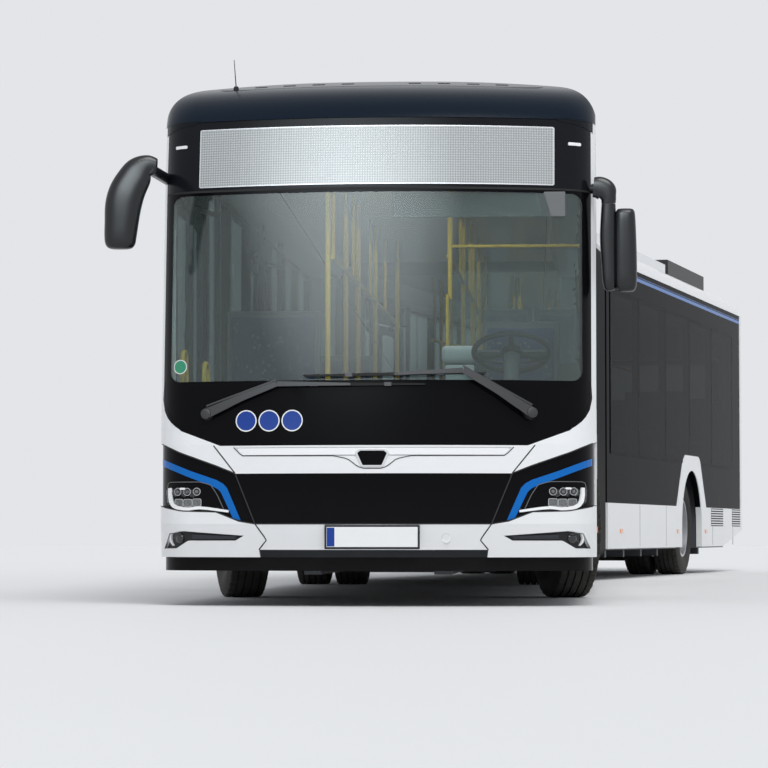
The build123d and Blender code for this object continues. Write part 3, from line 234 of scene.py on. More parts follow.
# %% Road dust, thicker near the ground
DUST_COLOR = (0.30, 0.27, 0.23, 1)
DUST_ROUGHNESS = 0.85
dust, given, leave = new_group(
    "road_dust",
    [("Color", "NodeSocketColor", (0.8, 0.8, 0.8, 1)), ("Amount", "NodeSocketFloat", 0.3),
     ("Top", "NodeSocketFloat", 1.2), ("Roughness", "NodeSocketFloat", 0.3)],
    [("Color", "NodeSocketColor"), ("Roughness", "NodeSocketFloat")],
)
place = object_place(dust)
z = add_node(dust, "ShaderNodeSeparateXYZ", place).outputs["Z"]
noise = add_node(dust, "ShaderNodeTexNoise", Vector=place, Scale=3.5, Detail=8.0, Roughness=0.65)
low = add_node(dust, "ShaderNodeMapRange", Value=z, From_Max=given["Top"], To_Min=1.0, To_Max=0.0)
thick = math_of(dust, "MULTIPLY", low.outputs[0], noise.outputs["Fac"])
thick = math_of(dust, "MULTIPLY", thick, given["Amount"])
feed(dust, leave, Color=mix_of(dust, "RGBA", thick, given["Color"], DUST_COLOR),
     Roughness=mix_of(dust, "FLOAT", thick, given["Roughness"], DUST_ROUGHNESS))

# %% Fine grain and wide ripples, for plastic, rubber, cloth and paint
grain, given, leave = new_group(
    "fine_grain",
    [("Scale", "NodeSocketFloat", 400.0), ("Strength", "NodeSocketFloat", 0.2),
     ("Wobble", "NodeSocketFloat", 0.0)],
    [("Height", "NodeSocketFloat")],
)
place = object_place(grain)
fine = add_node(grain, "ShaderNodeTexNoise", Vector=place, Scale=given["Scale"], Detail=3.0)
wide = add_node(grain, "ShaderNodeTexNoise", Vector=place, Scale=1.6, Detail=2.0)
fine = math_of(grain, "MULTIPLY", fine.outputs["Fac"], given["Strength"])
wide = math_of(grain, "MULTIPLY", wide.outputs["Fac"], given["Wobble"])
feed(grain, leave, Height=math_of(grain, "ADD", fine, wide))

# %% [markdown]
# Most surfaces of the bus are one of three kinds: clear-coated paint, grained plastic or metal.
# One function builds them all, with its own colour, gloss, dust and grain for each. Glass lets
# light through, so it has no dust layer on its colour.

# %% Helpers for finishes
def add_relief(tree, shader, scale, strength, wobble, distance):
    relief = add_node(tree, "ShaderNodeGroup", node_tree=grain, Scale=scale, Strength=strength, Wobble=wobble)
    add_bump(tree, shader, relief.outputs["Height"], distance)


def finish_of(name, color, roughness=0.4, metallic=0.0, coat=0.0, dust_amount=0.0, dust_top=1.2,
              grain_scale=0.0, grain_height=0.0, wobble=0.0, distance=0.001, specular=0.5):
    material, tree, shader = new_material(
        name, Base_Color=(*color, 1), Roughness=roughness, Metallic=metallic, Coat_Weight=coat,
        Coat_Roughness=0.03, Specular_IOR_Level=specular,
    )
    if dust_amount > 0:
        layer = add_node(tree, "ShaderNodeGroup", node_tree=dust, Color=(*color, 1), Amount=dust_amount,
                         Top=dust_top, Roughness=roughness)
        feed(tree, shader, Base_Color=layer.outputs["Color"], Roughness=layer.outputs["Roughness"])
    if grain_height > 0 or wobble > 0:
        add_relief(tree, shader, grain_scale, grain_height, wobble, distance)
    return material


def glass_of(name, color, wobble=0.0, ior=1.45, clear=1.0):
    material, tree, shader = new_material(
        name, Base_Color=(*color, 1), Roughness=0.0, IOR=ior, Transmission_Weight=clear,
    )
    add_relief(tree, shader, 400.0, 0.0, wobble, 0.0006)
    return material


# %% [markdown]
# These are the bus's own finishes. White paint is clear-coated and dusty low down. The side
# cladding is one black gloss from skirt to roof, so that windows and panels read as one band. The
# windscreen has a faint green tint, and the side windows are dark, as on most city buses.

# %% The finishes of the bus
WHITE = finish_of("white_paint", (0.80, 0.81, 0.82), 0.32, coat=0.7, dust_amount=0.22, dust_top=0.9,
                  wobble=0.5, distance=0.0012)
ROOF_WHITE = finish_of("roof_paint", (0.78, 0.79, 0.80), 0.36, coat=0.5, wobble=0.5, distance=0.0012)
DOME_BLACK = finish_of("dome_black", (0.004, 0.010, 0.020), 0.20, wobble=0.4, specular=0.09)
PIANO_BLACK = finish_of("panel_black", (0.003, 0.003, 0.004), 0.12, dust_amount=0.03, dust_top=0.7,
                        wobble=0.3, distance=0.0008, specular=0.07)
SIGN_BLACK = finish_of("sign_black", (0.008, 0.009, 0.012), 0.16, wobble=0.3, distance=0.0008, specular=0.10)
CLADDING = finish_of("side_cladding", (0.004, 0.004, 0.005), 0.09, wobble=0.9, distance=0.0016,
                     specular=0.003)
BLUE = finish_of("blue_film", (0.001, 0.130, 0.47), 0.25, wobble=0.2, specular=0.2)
STICKER_BLUE = finish_of("sticker_blue", (0.010, 0.045, 0.27), 0.3, wobble=0.2, specular=0.2)
DISC_GREEN = finish_of("green_film", (0.005, 0.24, 0.12), 0.25, coat=0.5, wobble=0.2)
SEAM = finish_of("joint_sealant", (0.006, 0.006, 0.006), 0.75, grain_scale=300, grain_height=0.3)
GREY_PLASTIC = finish_of("cab_plastic", (0.115, 0.120, 0.122), 0.55, wobble=0.4)
DARK_PLASTIC = finish_of("dark_dash", (0.018, 0.018, 0.020), 0.5, wobble=0.4)
BLACK_PLASTIC = finish_of("black_plastic", (0.009, 0.009, 0.010), 0.45, specular=0.35, grain_scale=700,
                          grain_height=0.5, distance=0.0005)
WIPER_GREY = finish_of("wiper_paint", (0.026, 0.026, 0.028), 0.4, grain_scale=700, grain_height=0.2,
                       distance=0.0004)
GLOSS_PLASTIC = finish_of("mirror_shell", (0.007, 0.008, 0.010), 0.26, specular=0.45, grain_scale=700,
                          grain_height=0.2, distance=0.0004)
NAVY = finish_of("recess_trim", (0.014, 0.019, 0.027), 0.3)
RUBBER = finish_of("rubber", (0.011, 0.011, 0.011), 0.75, specular=0.3, grain_scale=260, grain_height=0.8,
                   distance=0.0008, dust_amount=0.18, dust_top=1.1)
CHROME = finish_of("chrome", (0.82, 0.83, 0.84), 0.12, metallic=1.0, wobble=0.3, distance=0.0006)
BRIGHT = finish_of("bright_trim", (0.90, 0.91, 0.92), 0.22, metallic=0.35, coat=0.4)
MIRROR_GLASS = finish_of("mirror_glass", (0.85, 0.87, 0.88), 0.02, metallic=1.0, wobble=0.1)
SCREEN_OFF = finish_of("display_glass", (0.010, 0.012, 0.016), 0.06, coat=1.0, wobble=0.2)
SILVER = finish_of("wheel_silver", (0.52, 0.53, 0.55), 0.38, metallic=0.75, coat=0.2, grain_scale=500,
                   grain_height=0.3, distance=0.0005, dust_amount=0.16, dust_top=1.0)
STEEL = finish_of("frame_steel", (0.014, 0.014, 0.015), 0.65, metallic=0.2, specular=0.3, grain_scale=120,
                  grain_height=1.0, distance=0.002, dust_amount=0.5, dust_top=0.8)
VINYL = finish_of("floor_vinyl", (0.055, 0.06, 0.068), 0.5, grain_scale=160, grain_height=0.5,
                  distance=0.0006)
YELLOW = finish_of("yellow_rail", (0.80, 0.50, 0.015), 0.28, coat=0.5, wobble=0.2)
CASE = finish_of("pack_case", (0.60, 0.61, 0.62), 0.42, metallic=0.2, grain_scale=90, grain_height=0.4)
BELLOWS = finish_of("bellows_cloth", (0.020, 0.021, 0.023), 0.82, grain_scale=350, grain_height=1.2,
                    distance=0.0012, dust_amount=0.2, dust_top=1.4)
RED_LENS = finish_of("red_lens", (0.42, 0.012, 0.010), 0.10, coat=1.0, grain_scale=160, grain_height=0.5,
                     distance=0.002)
AMBER_LENS = finish_of("amber_lens", (0.80, 0.22, 0.01), 0.12, coat=1.0, grain_scale=160, grain_height=0.5,
                       distance=0.002)
WHITE_LENS = finish_of("white_lens", (0.86, 0.87, 0.88), 0.12, coat=1.0)
LAMP_GREY = finish_of("lamp_grey", (0.16, 0.165, 0.17), 0.25, metallic=0.6, coat=0.5)
LAMP_DARK = finish_of("lamp_dark", (0.012, 0.012, 0.014), 0.12, metallic=0.3, coat=0.8)
LAMP_RIM = finish_of("lamp_rim", (0.62, 0.63, 0.64), 0.20, metallic=0.8)
PLATE = finish_of("plate_white", (0.78, 0.79, 0.79), 0.35, coat=0.3, wobble=0.4, distance=0.0006)
SEAT_SHELL = finish_of("seat_shell", (0.10, 0.11, 0.12), 0.4, grain_scale=600, grain_height=0.3,
                       distance=0.0004)
SCREEN_GLASS = glass_of("screen_glass", (0.60, 0.735, 0.715), ior=1.44, clear=0.97)
SIDE_GLASS = glass_of("side_glass", (0.10, 0.115, 0.12), wobble=0.15, ior=1.03)
LAMP_GLASS = glass_of("lamp_glass", (0.95, 0.96, 0.97))
CLEAR_PANE = glass_of("clear_pane", (0.90, 0.94, 0.93), wobble=0.3)

# %% [markdown]
# Each CAD node keeps its shape and gets the finish of its real surface, found by the words that
# its name starts or ends with.

# %% Finishes for the CAD nodes
FINISHES = [
    (WHITE, ["front_mask", "front_bumper", "front_skirts", "rear_skirts", "rear_panel"]),
    (ROOF_WHITE, ["front_roof", "rear_roof"]),
    (DOME_BLACK, ["roof_dome"]),
    (PIANO_BLACK, ["front_dark_panel"]),
    (SIGN_BLACK, ["destination_glass"]),
    (CLADDING, ["front_sides", "rear_sides"]),
    (SCREEN_GLASS, ["windscreen"]),
    (SIDE_GLASS, ["front_glazing", "rear_glazing"]),
    (LAMP_GLASS, ["headlamps"]),
    (CASE, ["front_roof_pack", "rear_equipment"]),
    (VINYL, ["front_floor", "rear_floor"]),
    (GLOSS_PLASTIC, ["mirrors"]),
    (WIPER_GREY, ["wipers"]),
    (GREY_PLASTIC, ["driver_cab"]),
    (SEAT_SHELL, ["front_seats", "rear_seats"]),
    (YELLOW, ["front_handrails", "rear_handrails"]),
    (STEEL, ["axle_1", "axle_2", "axle_3", "knuckle_left", "knuckle_right", "turntable"]),
    (BELLOWS, ["bellows"]),
    (RED_LENS, ["tail_lamps"]),
]
finish_for = {name: finish for finish, names in FINISHES for name in names}
KINDS = (("tyre", RUBBER), ("rim", SILVER), ("_leaf", CLADDING), ("_post", BLACK_PLASTIC))
for name, node in NODES.items():
    for part, finish in KINDS:
        if name.startswith(part) or name.endswith(part):
            finish_for[name] = finish
    node.data.materials.clear()
    node.data.materials.append(finish_for[name])
print("finished", len(NODES), "nodes")

# %% [markdown]
# The front of the bus is one bowed surface: a wide arc in plan with a tighter arc at each corner,
# leaning back as it rises. These functions give any point of that surface and the way it faces, so
# that lamps, joints and stripes can be laid on it exactly.

# %% The bowed front as a surface
BOW_R = 3.400
CORNER_R = 0.300
CORNER_X = 0.975
CORNER_Y = 0.457
BOW_END = 1.069
# Height and how far back the skin stands there
SETBACK = [(0.283, 0.050), (0.474, 0.0), (0.930, 0.0), (2.410, 0.140), (2.830, 0.212)]


def setback(z):
    if z <= SETBACK[0][0]:
        return SETBACK[0][1]
    for (z0, s0), (z1, s1) in zip(SETBACK, SETBACK[1:]):
        if z <= z1:
            return s0 + (s1 - s0) * (z - z0) / (z1 - z0)
    return SETBACK[-1][1]


def on_front(x, z, out=0.0):
    side = 1 if x >= 0 else -1
    ax = abs(x)
    if ax < BOW_END:
        drop = math.sqrt(BOW_R ** 2 - ax ** 2)
        y = BOW_R - drop
        nx, ny = ax / BOW_R, -drop / BOW_R
    elif ax < CORNER_X + CORNER_R:
        drop = math.sqrt(CORNER_R ** 2 - (ax - CORNER_X) ** 2)
        y = CORNER_Y - drop
        nx, ny = (ax - CORNER_X) / CORNER_R, -drop / CORNER_R
    else:
        y = CORNER_Y + (ax - CORNER_X - CORNER_R)
        ax = CORNER_X + CORNER_R
        nx, ny = 1, 0
    return Vector((side * (ax + nx * out), y + setback(z) + ny * out, z))


# %% [markdown]
# Every new piece is modelled in the bus's own measures and then put in place in the frame. A
# finished piece's object stays at the origin, so the place goes into its mesh.

# %% Helpers that start and finish a piece
def clear_selection():
    if bpy.context.object and bpy.context.object.mode != "OBJECT":
        bpy.ops.object.mode_set(mode="OBJECT")
    bpy.ops.object.select_all(action="DESELECT")


def activate(piece):
    clear_selection()
    piece.select_set(True)
    bpy.context.view_layer.objects.active = piece


def join_pieces(objects):
    activate(objects[0])
    for piece in objects[1:]:
        piece.select_set(True)
    if len(objects) > 1:
        bpy.ops.object.join()
    return bpy.context.view_layer.objects.active


def move_into(piece, place):
    piece.data.transform(place @ piece.matrix_world)
    piece.matrix_world = Matrix.Identity(4)
    return piece


def put(name, pieces, material, home=FRONT_HOME, smooth=None, replaced=()):
    """Join the pieces into one, put it in its place and let it ride on its body."""
    piece = join_pieces(pieces)
    body, place = home
    piece.name = name
    piece.data.name = name
    move_into(piece, place)
    piece.data.materials.clear()
    piece.data.materials.append(material)
    if smooth:
        activate(piece)
        bpy.ops.object.shade_smooth_by_angle(angle=math.radians(smooth))
    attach(piece, body)
    if replaced:
        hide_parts(*replaced)
    return piece


def apply_all(piece):
    activate(piece)
    for modifier in list(piece.modifiers):
        bpy.ops.object.modifier_apply(modifier=modifier.name)


def round_edges(piece, width, segments=2, least=30):
    rounding = piece.modifiers.new("rounding", "BEVEL")
    rounding.width = width
    rounding.segments = segments
    rounding.limit_method = "ANGLE"
    rounding.angle_limit = math.radians(least)


def turned_to(way):
    """The turn that points local Z along a way."""
    return way.to_track_quat("Z", "Y").to_matrix().to_4x4()


def add_box(x0, x1, y0, y1, z0, z1, bevel=0.0, segments=2):
    clear_selection()
    bpy.ops.mesh.primitive_cube_add(size=1, location=((x0 + x1) / 2, (y0 + y1) / 2, (z0 + z1) / 2))
    piece = bpy.context.active_object
    piece.scale = (abs(x1 - x0), abs(y1 - y0), abs(z1 - z0))
    bpy.ops.object.transform_apply(location=False, rotation=False, scale=True)
    if bevel > 0:
        round_edges(piece, bevel, segments)
        apply_all(piece)
    return piece


def add_boxes(rows):
    return [add_box(*row) for row in rows]


def add_rod(start, end, radius, sides=16, end_radius=None, bevel=0.0):
    a, b = Vector(start), Vector(end)
    clear_selection()
    bpy.ops.mesh.primitive_cone_add(
        vertices=sides, radius1=radius, radius2=radius if end_radius is None else end_radius,
        depth=(b - a).length,
    )
    piece = bpy.context.active_object
    piece.matrix_world = Matrix.Translation((a + b) / 2) @ turned_to(b - a)
    if bevel > 0:
        round_edges(piece, bevel)
        apply_all(piece)
    bpy.ops.object.transform_apply(location=True, rotation=True, scale=True)
    return piece


def add_torus(radius, thickness, steps, sides, place=(0, 0, 0), turn=(0, 0, 0)):
    clear_selection()
    bpy.ops.mesh.primitive_torus_add(major_segments=steps, minor_segments=sides, major_radius=radius,
                                     minor_radius=thickness, location=place, rotation=turn)
    return bpy.context.active_object


def cut_along(piece, axis, cuts):
    """Subdivide the edges that run along one axis, so that the piece can bend there."""
    bpy.ops.object.mode_set(mode="EDIT")
    shape = bmesh.from_edit_mesh(piece.data)
    for edge in shape.edges:
        a, b = edge.verts
        edge.select_set(abs(a.co[axis] - b.co[axis]) > 1)
    bmesh.update_edit_mesh(piece.data)
    bpy.ops.mesh.subdivide(number_cuts=cuts)
    bpy.ops.object.mode_set(mode="OBJECT")


def face_outwards(piece):
    activate(piece)
    bpy.ops.object.mode_set(mode="EDIT")
    bpy.ops.mesh.select_all(action="SELECT")
    bpy.ops.mesh.normals_make_consistent(inside=False)
    bpy.ops.object.mode_set(mode="OBJECT")


# %% [markdown]
# A joint line, stripe or light bar is a thin bar that follows a path on the skin. It starts as a
# cube whose long edges are subdivided, and its vertices are then laid along the path.

# %% A bar laid along a path on the front
def bar_on_front(path, width, proud, sink=0.001, step=0.025):
    lengths = [0.0]
    across = []
    for (x0, z0), (x1, z1) in zip(path, path[1:]):
        size = math.hypot(x1 - x0, z1 - z0)
        lengths.append(lengths[-1] + size)
        across.append(Vector((-(z1 - z0) / size, (x1 - x0) / size)))
    total = lengths[-1]
    wide = width if isinstance(width, list) else [width] * len(path)
    clear_selection()
    bpy.ops.mesh.primitive_cube_add(size=2)
    piece = bpy.context.active_object
    cut_along(piece, 0, max(1, int(total / step)))
    for vertex in piece.data.vertices:
        s = (vertex.co.x + 1) / 2 * total
        k = 0
        while k < len(path) - 2 and s > lengths[k + 1]:
            k += 1
        t = (s - lengths[k]) / (lengths[k + 1] - lengths[k])
        x = path[k][0] + (path[k + 1][0] - path[k][0]) * t
        z = path[k][1] + (path[k + 1][1] - path[k][1]) * t
        w = wide[k] + (wide[k + 1] - wide[k]) * t
        n = across[k].copy()
        if t < 0.5 and k > 0:
            n = n.lerp(across[k - 1], 0.5 - t)
        if t > 0.5 and k < len(path) - 2:
            n = n.lerp(across[k + 1], t - 0.5)
        n.normalize()
        off = vertex.co.y * w / 2
        out = proud if vertex.co.z > 0 else -sink
        vertex.co = on_front(x + n.x * off, z + n.y * off, out)
    face_outwards(piece)
    return piece


# %% [markdown]
# A stripe, disc or printed border is a flat outline laid on the same surface. The outline is drawn
# as a flat curve, made a mesh, cut into narrow strips so that it can follow the bow, laid on the
# skin and given its thickness inwards.

# %% A flat outline laid on the front
SKIN_BREAKS = [0.474, 0.930, 2.410]
CORNER_STRIPS = (1.09, 1.12, 1.15, 1.18, 1.21, 1.235, 1.255)
FRONT_WAY = Vector((0, -1, 0))


def curve_mesh(curve):
    piece = bpy.data.objects.new("outline", curve)
    scene.collection.objects.link(piece)
    activate(piece)
    bpy.ops.object.convert(target="MESH")
    return bpy.context.active_object


def outline_mesh(outlines):
    curve = bpy.data.curves.new("outline", "CURVE")
    curve.dimensions = "2D"
    curve.fill_mode = "BOTH"
    for outline in outlines:
        spline = curve.splines.new("POLY")
        spline.points.add(len(outline) - 1)
        for point, (x, z) in zip(spline.points, outline):
            point.co = (x, z, 0, 1)
        spline.use_cyclic_u = True
    return curve_mesh(curve)


def cut_in_strips(xs, zs):
    bpy.ops.object.mode_set(mode="EDIT")
    for place, way in [((x, 0, 0), (1, 0, 0)) for x in xs] + [((0, z, 0), (0, 1, 0)) for z in zs]:
        bpy.ops.mesh.select_all(action="SELECT")
        bpy.ops.mesh.bisect(plane_co=place, plane_no=way)
    bpy.ops.object.mode_set(mode="OBJECT")


def thicken(piece, thickness, bevel=0.0):
    wall = piece.modifiers.new("wall", "SOLIDIFY")
    wall.thickness = thickness
    wall.offset = -1
    if bevel > 0:
        round_edges(piece, bevel, least=50)
    apply_all(piece)


def face_along(piece, way):
    """Turn the faces of a flat piece so that they look along a way."""
    shape = bmesh.new()
    shape.from_mesh(piece.data)
    shape.normal_update()
    if sum(face.normal.dot(way) * face.calc_area() for face in shape.faces) < 0:
        bmesh.ops.reverse_faces(shape, faces=shape.faces[:])
    shape.to_mesh(piece.data)
    shape.free()


def patch_on_front(outlines, proud, thickness=0.002, step=0.06):
    piece = outline_mesh(outlines)
    low = min(x for x, z in outlines[0])
    high = max(x for x, z in outlines[0])
    bottom = min(z for x, z in outlines[0])
    top = max(z for x, z in outlines[0])
    count = max(1, int((high - low) / step))
    xs = [low + (high - low) * i / count for i in range(1, count)]
    corner = [s * x for s in (-1, 1) for x in CORNER_STRIPS if low < s * x < high]
    cut_in_strips(xs + corner, [z for z in SKIN_BREAKS if bottom < z < top])
    for vertex in piece.data.vertices:
        vertex.co = on_front(vertex.co.x, vertex.co.y, proud)
    face_along(piece, FRONT_WAY)
    thicken(piece, thickness)
    return piece


def rounded(points, radius, steps=5):
    """The same outline with each corner turned into an arc."""
    result = []
    count = len(points)
    for i, (x, z) in enumerate(points):
        before, after = Vector(points[i - 1]), Vector(points[(i + 1) % count])
        corner = Vector((x, z))
        a = (before - corner).normalized()
        b = (after - corner).normalized()
        half = a.angle(b) / 2
        reach = min(radius / math.tan(half), (before - corner).length / 2, (after - corner).length / 2)
        centre = corner + (a + b).normalized() * (reach / math.cos(half))
        start = corner + a * reach - centre
        turn = math.pi - 2 * half
        if a.x * b.y - a.y * b.x > 0:
            turn = -turn
        for k in range(steps + 1):
            way = Matrix.Rotation(turn * k / steps, 2) @ start
            result.append(tuple(centre + way))
    return result


def rectangle(x0, x1, z0, z1):
    return [(x0, z0), (x1, z0), (x1, z1), (x0, z1)]


def square_outline(x, z, half_x, half_z, radius):
    return rounded(rectangle(x - half_x, x + half_x, z - half_z, z + half_z), radius, 4)


def circle(x, z, radius, steps=40):
    angles = [2 * math.pi * k / steps for k in range(steps)]
    return [(x + radius * math.cos(angle), z + radius * math.sin(angle)) for angle in angles]


def mirrored(points):
    return [(-x, z) for x, z in reversed(points)]


def on_side(side, points):
    return [(side * x, z) for x, z in points]


def patch_pair(outline, *sizes, step=0.06):
    return [patch_on_front([points], *sizes, step=step) for points in (outline, mirrored(outline))]


def bar_pair(path, width, *sizes):
    return [bar_on_front(on_side(side, path), width, *sizes) for side in (-1, 1)]


# %% [markdown]
# The route display is a wide pale window behind the dark glass over the windscreen. It is left
# blank: a fine grid of unlit dots. The dots are a pattern in the material, a round mask repeated
# in both directions.

# %% Dot grid finish
def dotted_finish(name, base, dot, pitch):
    material, tree, shader = new_material(name, Roughness=0.25, Coat_Weight=0.6)
    parts = add_node(tree, "ShaderNodeSeparateXYZ", object_place(tree)).outputs
    turns = [math_of(tree, "MULTIPLY", parts[axis], 2 * math.pi / pitch) for axis in "XZ"]
    both_ways = math_of(tree, "ADD", *[math_of(tree, "SINE", turn) for turn in turns])
    edge = add_node(tree, "ShaderNodeMapRange", Value=both_ways, From_Min=0.1, From_Max=0.7).outputs[0]
    feed(tree, shader, Base_Color=mix_of(tree, "RGBA", edge, (*base, 1), (*dot, 1)))
    add_bump(tree, shader, edge, 0.0008)
    return material


DISPLAY = dotted_finish("display_dots", (0.29, 0.31, 0.315), (0.49, 0.515, 0.525), 0.0145)

# %% Route display and its frame
window = rounded(rectangle(-1.030, 1.030, 2.440, 2.776), 0.008)
put("route_display", [patch_on_front([window], 0.0012, 0.0016)], DISPLAY)
rim = rounded(rectangle(-1.036, 1.036, 2.434, 2.782), 0.010)
put("display_rim", [patch_on_front([rim, window], 0.0020, 0.0026)], SILVER)
put("screen_top_seal", [bar_on_front([(-1.245, 2.411), (1.245, 2.411)], 0.012, 0.0012)], RUBBER)
SCREEN_EDGE = [
    (1.245, 1.300), (1.251, 1.200), (1.237, 1.132), (1.214, 1.090), (1.190, 1.062), (1.158, 1.036),
    (1.120, 1.012), (1.108, 1.022), (1.184, 1.078), (1.238, 1.180), (1.238, 1.300),
]
put("screen_edges", patch_pair(SCREEN_EDGE, 0.0008, 0.0015, step=0.02), PIANO_BLACK)
SIGN_CORNER = [
    (1.030, 2.838), (1.258, 2.838), (1.258, 2.768), (1.235, 2.781), (1.200, 2.794), (1.150, 2.806),
    (1.069, 2.816),
]
put("sign_corners", patch_pair(SIGN_CORNER, 0.0015, 0.003, step=0.03), SIGN_BLACK)

# %% [markdown]
# A dark gap shows wherever two panels of the front meet. Each gap is a narrow bar of sealant on
# the skin, so that it also reads from the side.

# %% Joints between the front panels
JOINTS = [
    [(-0.796, 0.764), (-0.925, 0.924)],
    [(-0.678, 0.474), (-0.612, 0.382), (-0.658, 0.326)],
    [(-1.274, 0.948), (-1.129, 0.885), (-0.910, 0.808), (-0.796, 0.763)],
    [(-0.678, 0.474), (-0.774, 0.490), (-0.909, 0.543), (-1.120, 0.549), (-1.274, 0.579)],
    [(-0.796, 0.763), (-0.678, 0.474)],
]
seams = [bar_on_front([(-0.678, 0.474), (0.678, 0.474)], 0.007, 0.0008)]
for path in JOINTS:
    seams += bar_pair(path, 0.007, 0.0008)
put("front_joints", seams, SEAM)

# %% [markdown]
# A bright strip runs across the mask below the screen. A dark bead follows its lower edge and
# dips round a small blank plaque in the middle.

# %% Bright strip, bead and plaque
STRIP = [(-0.790, 0.908), (0.790, 0.908), (0.752, 0.868), (-0.752, 0.868)]
put("bright_strip", [patch_on_front([rounded(STRIP, 0.006)], 0.0008, 0.003)], BRIGHT)
BEAD = [(-0.804, 0.912), (-0.756, 0.864), (-0.220, 0.862), (-0.140, 0.845), (-0.085, 0.802), (-0.055, 0.790)]
put("strip_bead", [bar_on_front(BEAD + mirrored(BEAD), 0.0045, 0.002)], STEEL)
PLAQUE = [(-0.100, 0.880), (-0.062, 0.800), (0.062, 0.800), (0.100, 0.880), (0.075, 0.900), (-0.075, 0.900)]
INNER = [(-0.085, 0.877), (-0.054, 0.808), (0.054, 0.808), (0.085, 0.877), (0.067, 0.891), (-0.067, 0.891)]
inner = rounded(INNER, 0.008)
put("blank_plaque", [patch_on_front([inner], 0.003, 0.012)], PIANO_BLACK)
put("plaque_bezel", [patch_on_front([rounded(PLAQUE, 0.010), inner], 0.006, 0.016)], CHROME)

# %% [markdown]
# Each lamp area is a black moulded panel behind clear plastic. A blue film stripe sweeps along it
# and down its inner edge.

# %% Blue stripes through the lamp areas
FILM = [
    (-1.274, 0.856), (-1.067, 0.779), (-0.910, 0.726), (-0.872, 0.705), (-0.848, 0.680), (-0.766, 0.494),
    (-0.812, 0.506), (-0.884, 0.655), (-0.902, 0.673), (-0.925, 0.686), (-1.067, 0.739), (-1.274, 0.816),
]
put("lamp_stripes", patch_pair(FILM, -0.0105, 0.0015, step=0.04), BLUE)

# %% [markdown]
# Inside each lamp stand three round projectors over three square ones, each a dark bowl behind a
# thin bright rim. A white light guide bends round them and runs inwards along the lower edge.

# %% Lamp cells
ROUND_CELLS = [(1.147, 0.660), (1.087, 0.659), (1.028, 0.660)]
SQUARE_CELLS = [(1.139, 0.596), (1.083, 0.595), (1.027, 0.597)]
CELL_STEP = 0.1
rims, bowls, faces, glints = [], [], [], []
for side in (-1, 1):
    for x, z in on_side(side, ROUND_CELLS):
        outer, inner = circle(x, z, 0.0225, 28), circle(x, z, 0.0195, 28)
        rims.append(patch_on_front([outer, inner], -0.0050, 0.006, CELL_STEP))
        bowls.append(patch_on_front([inner], -0.0095, 0.0012, CELL_STEP))
        faces.append(patch_on_front([circle(x, z, 0.0090, 20)], -0.0070, 0.003, CELL_STEP))
    for x, z in on_side(side, SQUARE_CELLS):
        outer = square_outline(x, z, 0.0265, 0.0225, 0.009)
        inner = square_outline(x, z, 0.0240, 0.0200, 0.008)
        rims.append(patch_on_front([outer, inner], -0.0050, 0.006, CELL_STEP))
        faces.append(patch_on_front([inner], -0.0085, 0.0015, CELL_STEP))
    # A small white patch between the first two round cells is a painted highlight: white standing in for a
    # glint of light, not a lamp.
    glint = square_outline(side * 1.117, 0.677, 0.017, 0.006, 0.004)
    glints.append(patch_on_front([glint], -0.0045, 0.004, CELL_STEP))
put("lamp_rims", rims, LAMP_RIM)
put("lamp_bowls", bowls, LAMP_DARK)
put("lamp_faces", faces, LAMP_GREY)
put("painted_glint_patches", glints, WHITE_LENS)
SHELF = [
    (1.222, 0.672), (1.219, 0.706), (1.206, 0.716), (1.010, 0.716), (0.945, 0.698), (0.905, 0.640),
    (0.868, 0.560),
]
put("lamp_shelves", bar_pair(SHELF, 0.004, -0.0085, 0.0105, 0.02), GREY_PLASTIC, smooth=40)

# %% Light guides
LIGHT_GUIDE = [
    (1.200, 0.682), (1.198, 0.640), (1.192, 0.606), (1.176, 0.582), (1.148, 0.567), (1.110, 0.561),
    (1.075, 0.560), (1.045, 0.564), (1.010, 0.567), (0.960, 0.563), (0.900, 0.555), (0.836, 0.546),
]
GUIDE_WIDTH = [0.018, 0.022, 0.023, 0.023, 0.022, 0.020, 0.018, 0.017, 0.017, 0.016, 0.015, 0.013]
put("light_guides", bar_pair(LIGHT_GUIDE, GUIDE_WIDTH, -0.001, 0.011, 0.008), WHITE_LENS, smooth=40)

# %% [markdown]
# A dark recess low on each side holds a round lamp with a thin white arc at its outer edge and a
# blade of trim that points inwards.

# %% Lower recesses
RECESS = [
    (1.240, 0.334), (1.199, 0.418), (1.120, 0.432), (0.747, 0.405), (0.797, 0.379), (1.081, 0.379),
    (1.157, 0.334),
]
BLADE = [(1.060, 0.414), (0.790, 0.403), (0.806, 0.388), (1.062, 0.388)]
ARC = [(1.193, 0.417), (1.201, 0.402), (1.203, 0.386), (1.198, 0.368), (1.184, 0.349)]
ARC_WIDTH = [0.003, 0.008, 0.009, 0.008, 0.003]
EYE_FLATNESS = 0.45


def recess_patches(outline, proud, thickness):
    return [patch_on_front([on_side(side, outline)], proud, thickness, step=0.05) for side in (-1, 1)]


def add_eye(x, z, radius):
    way = on_front(x, z) - on_front(x, z, -0.020)
    clear_selection()
    bpy.ops.mesh.primitive_uv_sphere_add(segments=32, ring_count=16, radius=radius)
    eye = bpy.context.active_object
    flat = Matrix.Diagonal((1, 1, EYE_FLATNESS, 1))
    return move_into(eye, Matrix.Translation(on_front(x, z, -0.019)) @ turned_to(way) @ flat)


put("lower_recesses", recess_patches(RECESS, -0.0205, 0.0012), BLACK_PLASTIC)
put("recess_trims", recess_patches(BLADE, -0.012, 0.006), NAVY)
put("lower_lamps", [add_eye(side * 1.146, 0.394, 0.031) for side in (-1, 1)], LAMP_DARK, smooth=60)
put("lower_lamp_arcs", bar_pair(ARC, ARC_WIDTH, -0.006, 0.020, 0.006), WHITE_LENS, smooth=40)
clearance = [square_outline(side * 1.152, 2.686, 0.036, 0.009, 0.004) for side in (-1, 1)]
put("clearance_lamps", [patch_on_front([outline], 0.004, 0.005) for outline in clearance], WHITE_LENS)

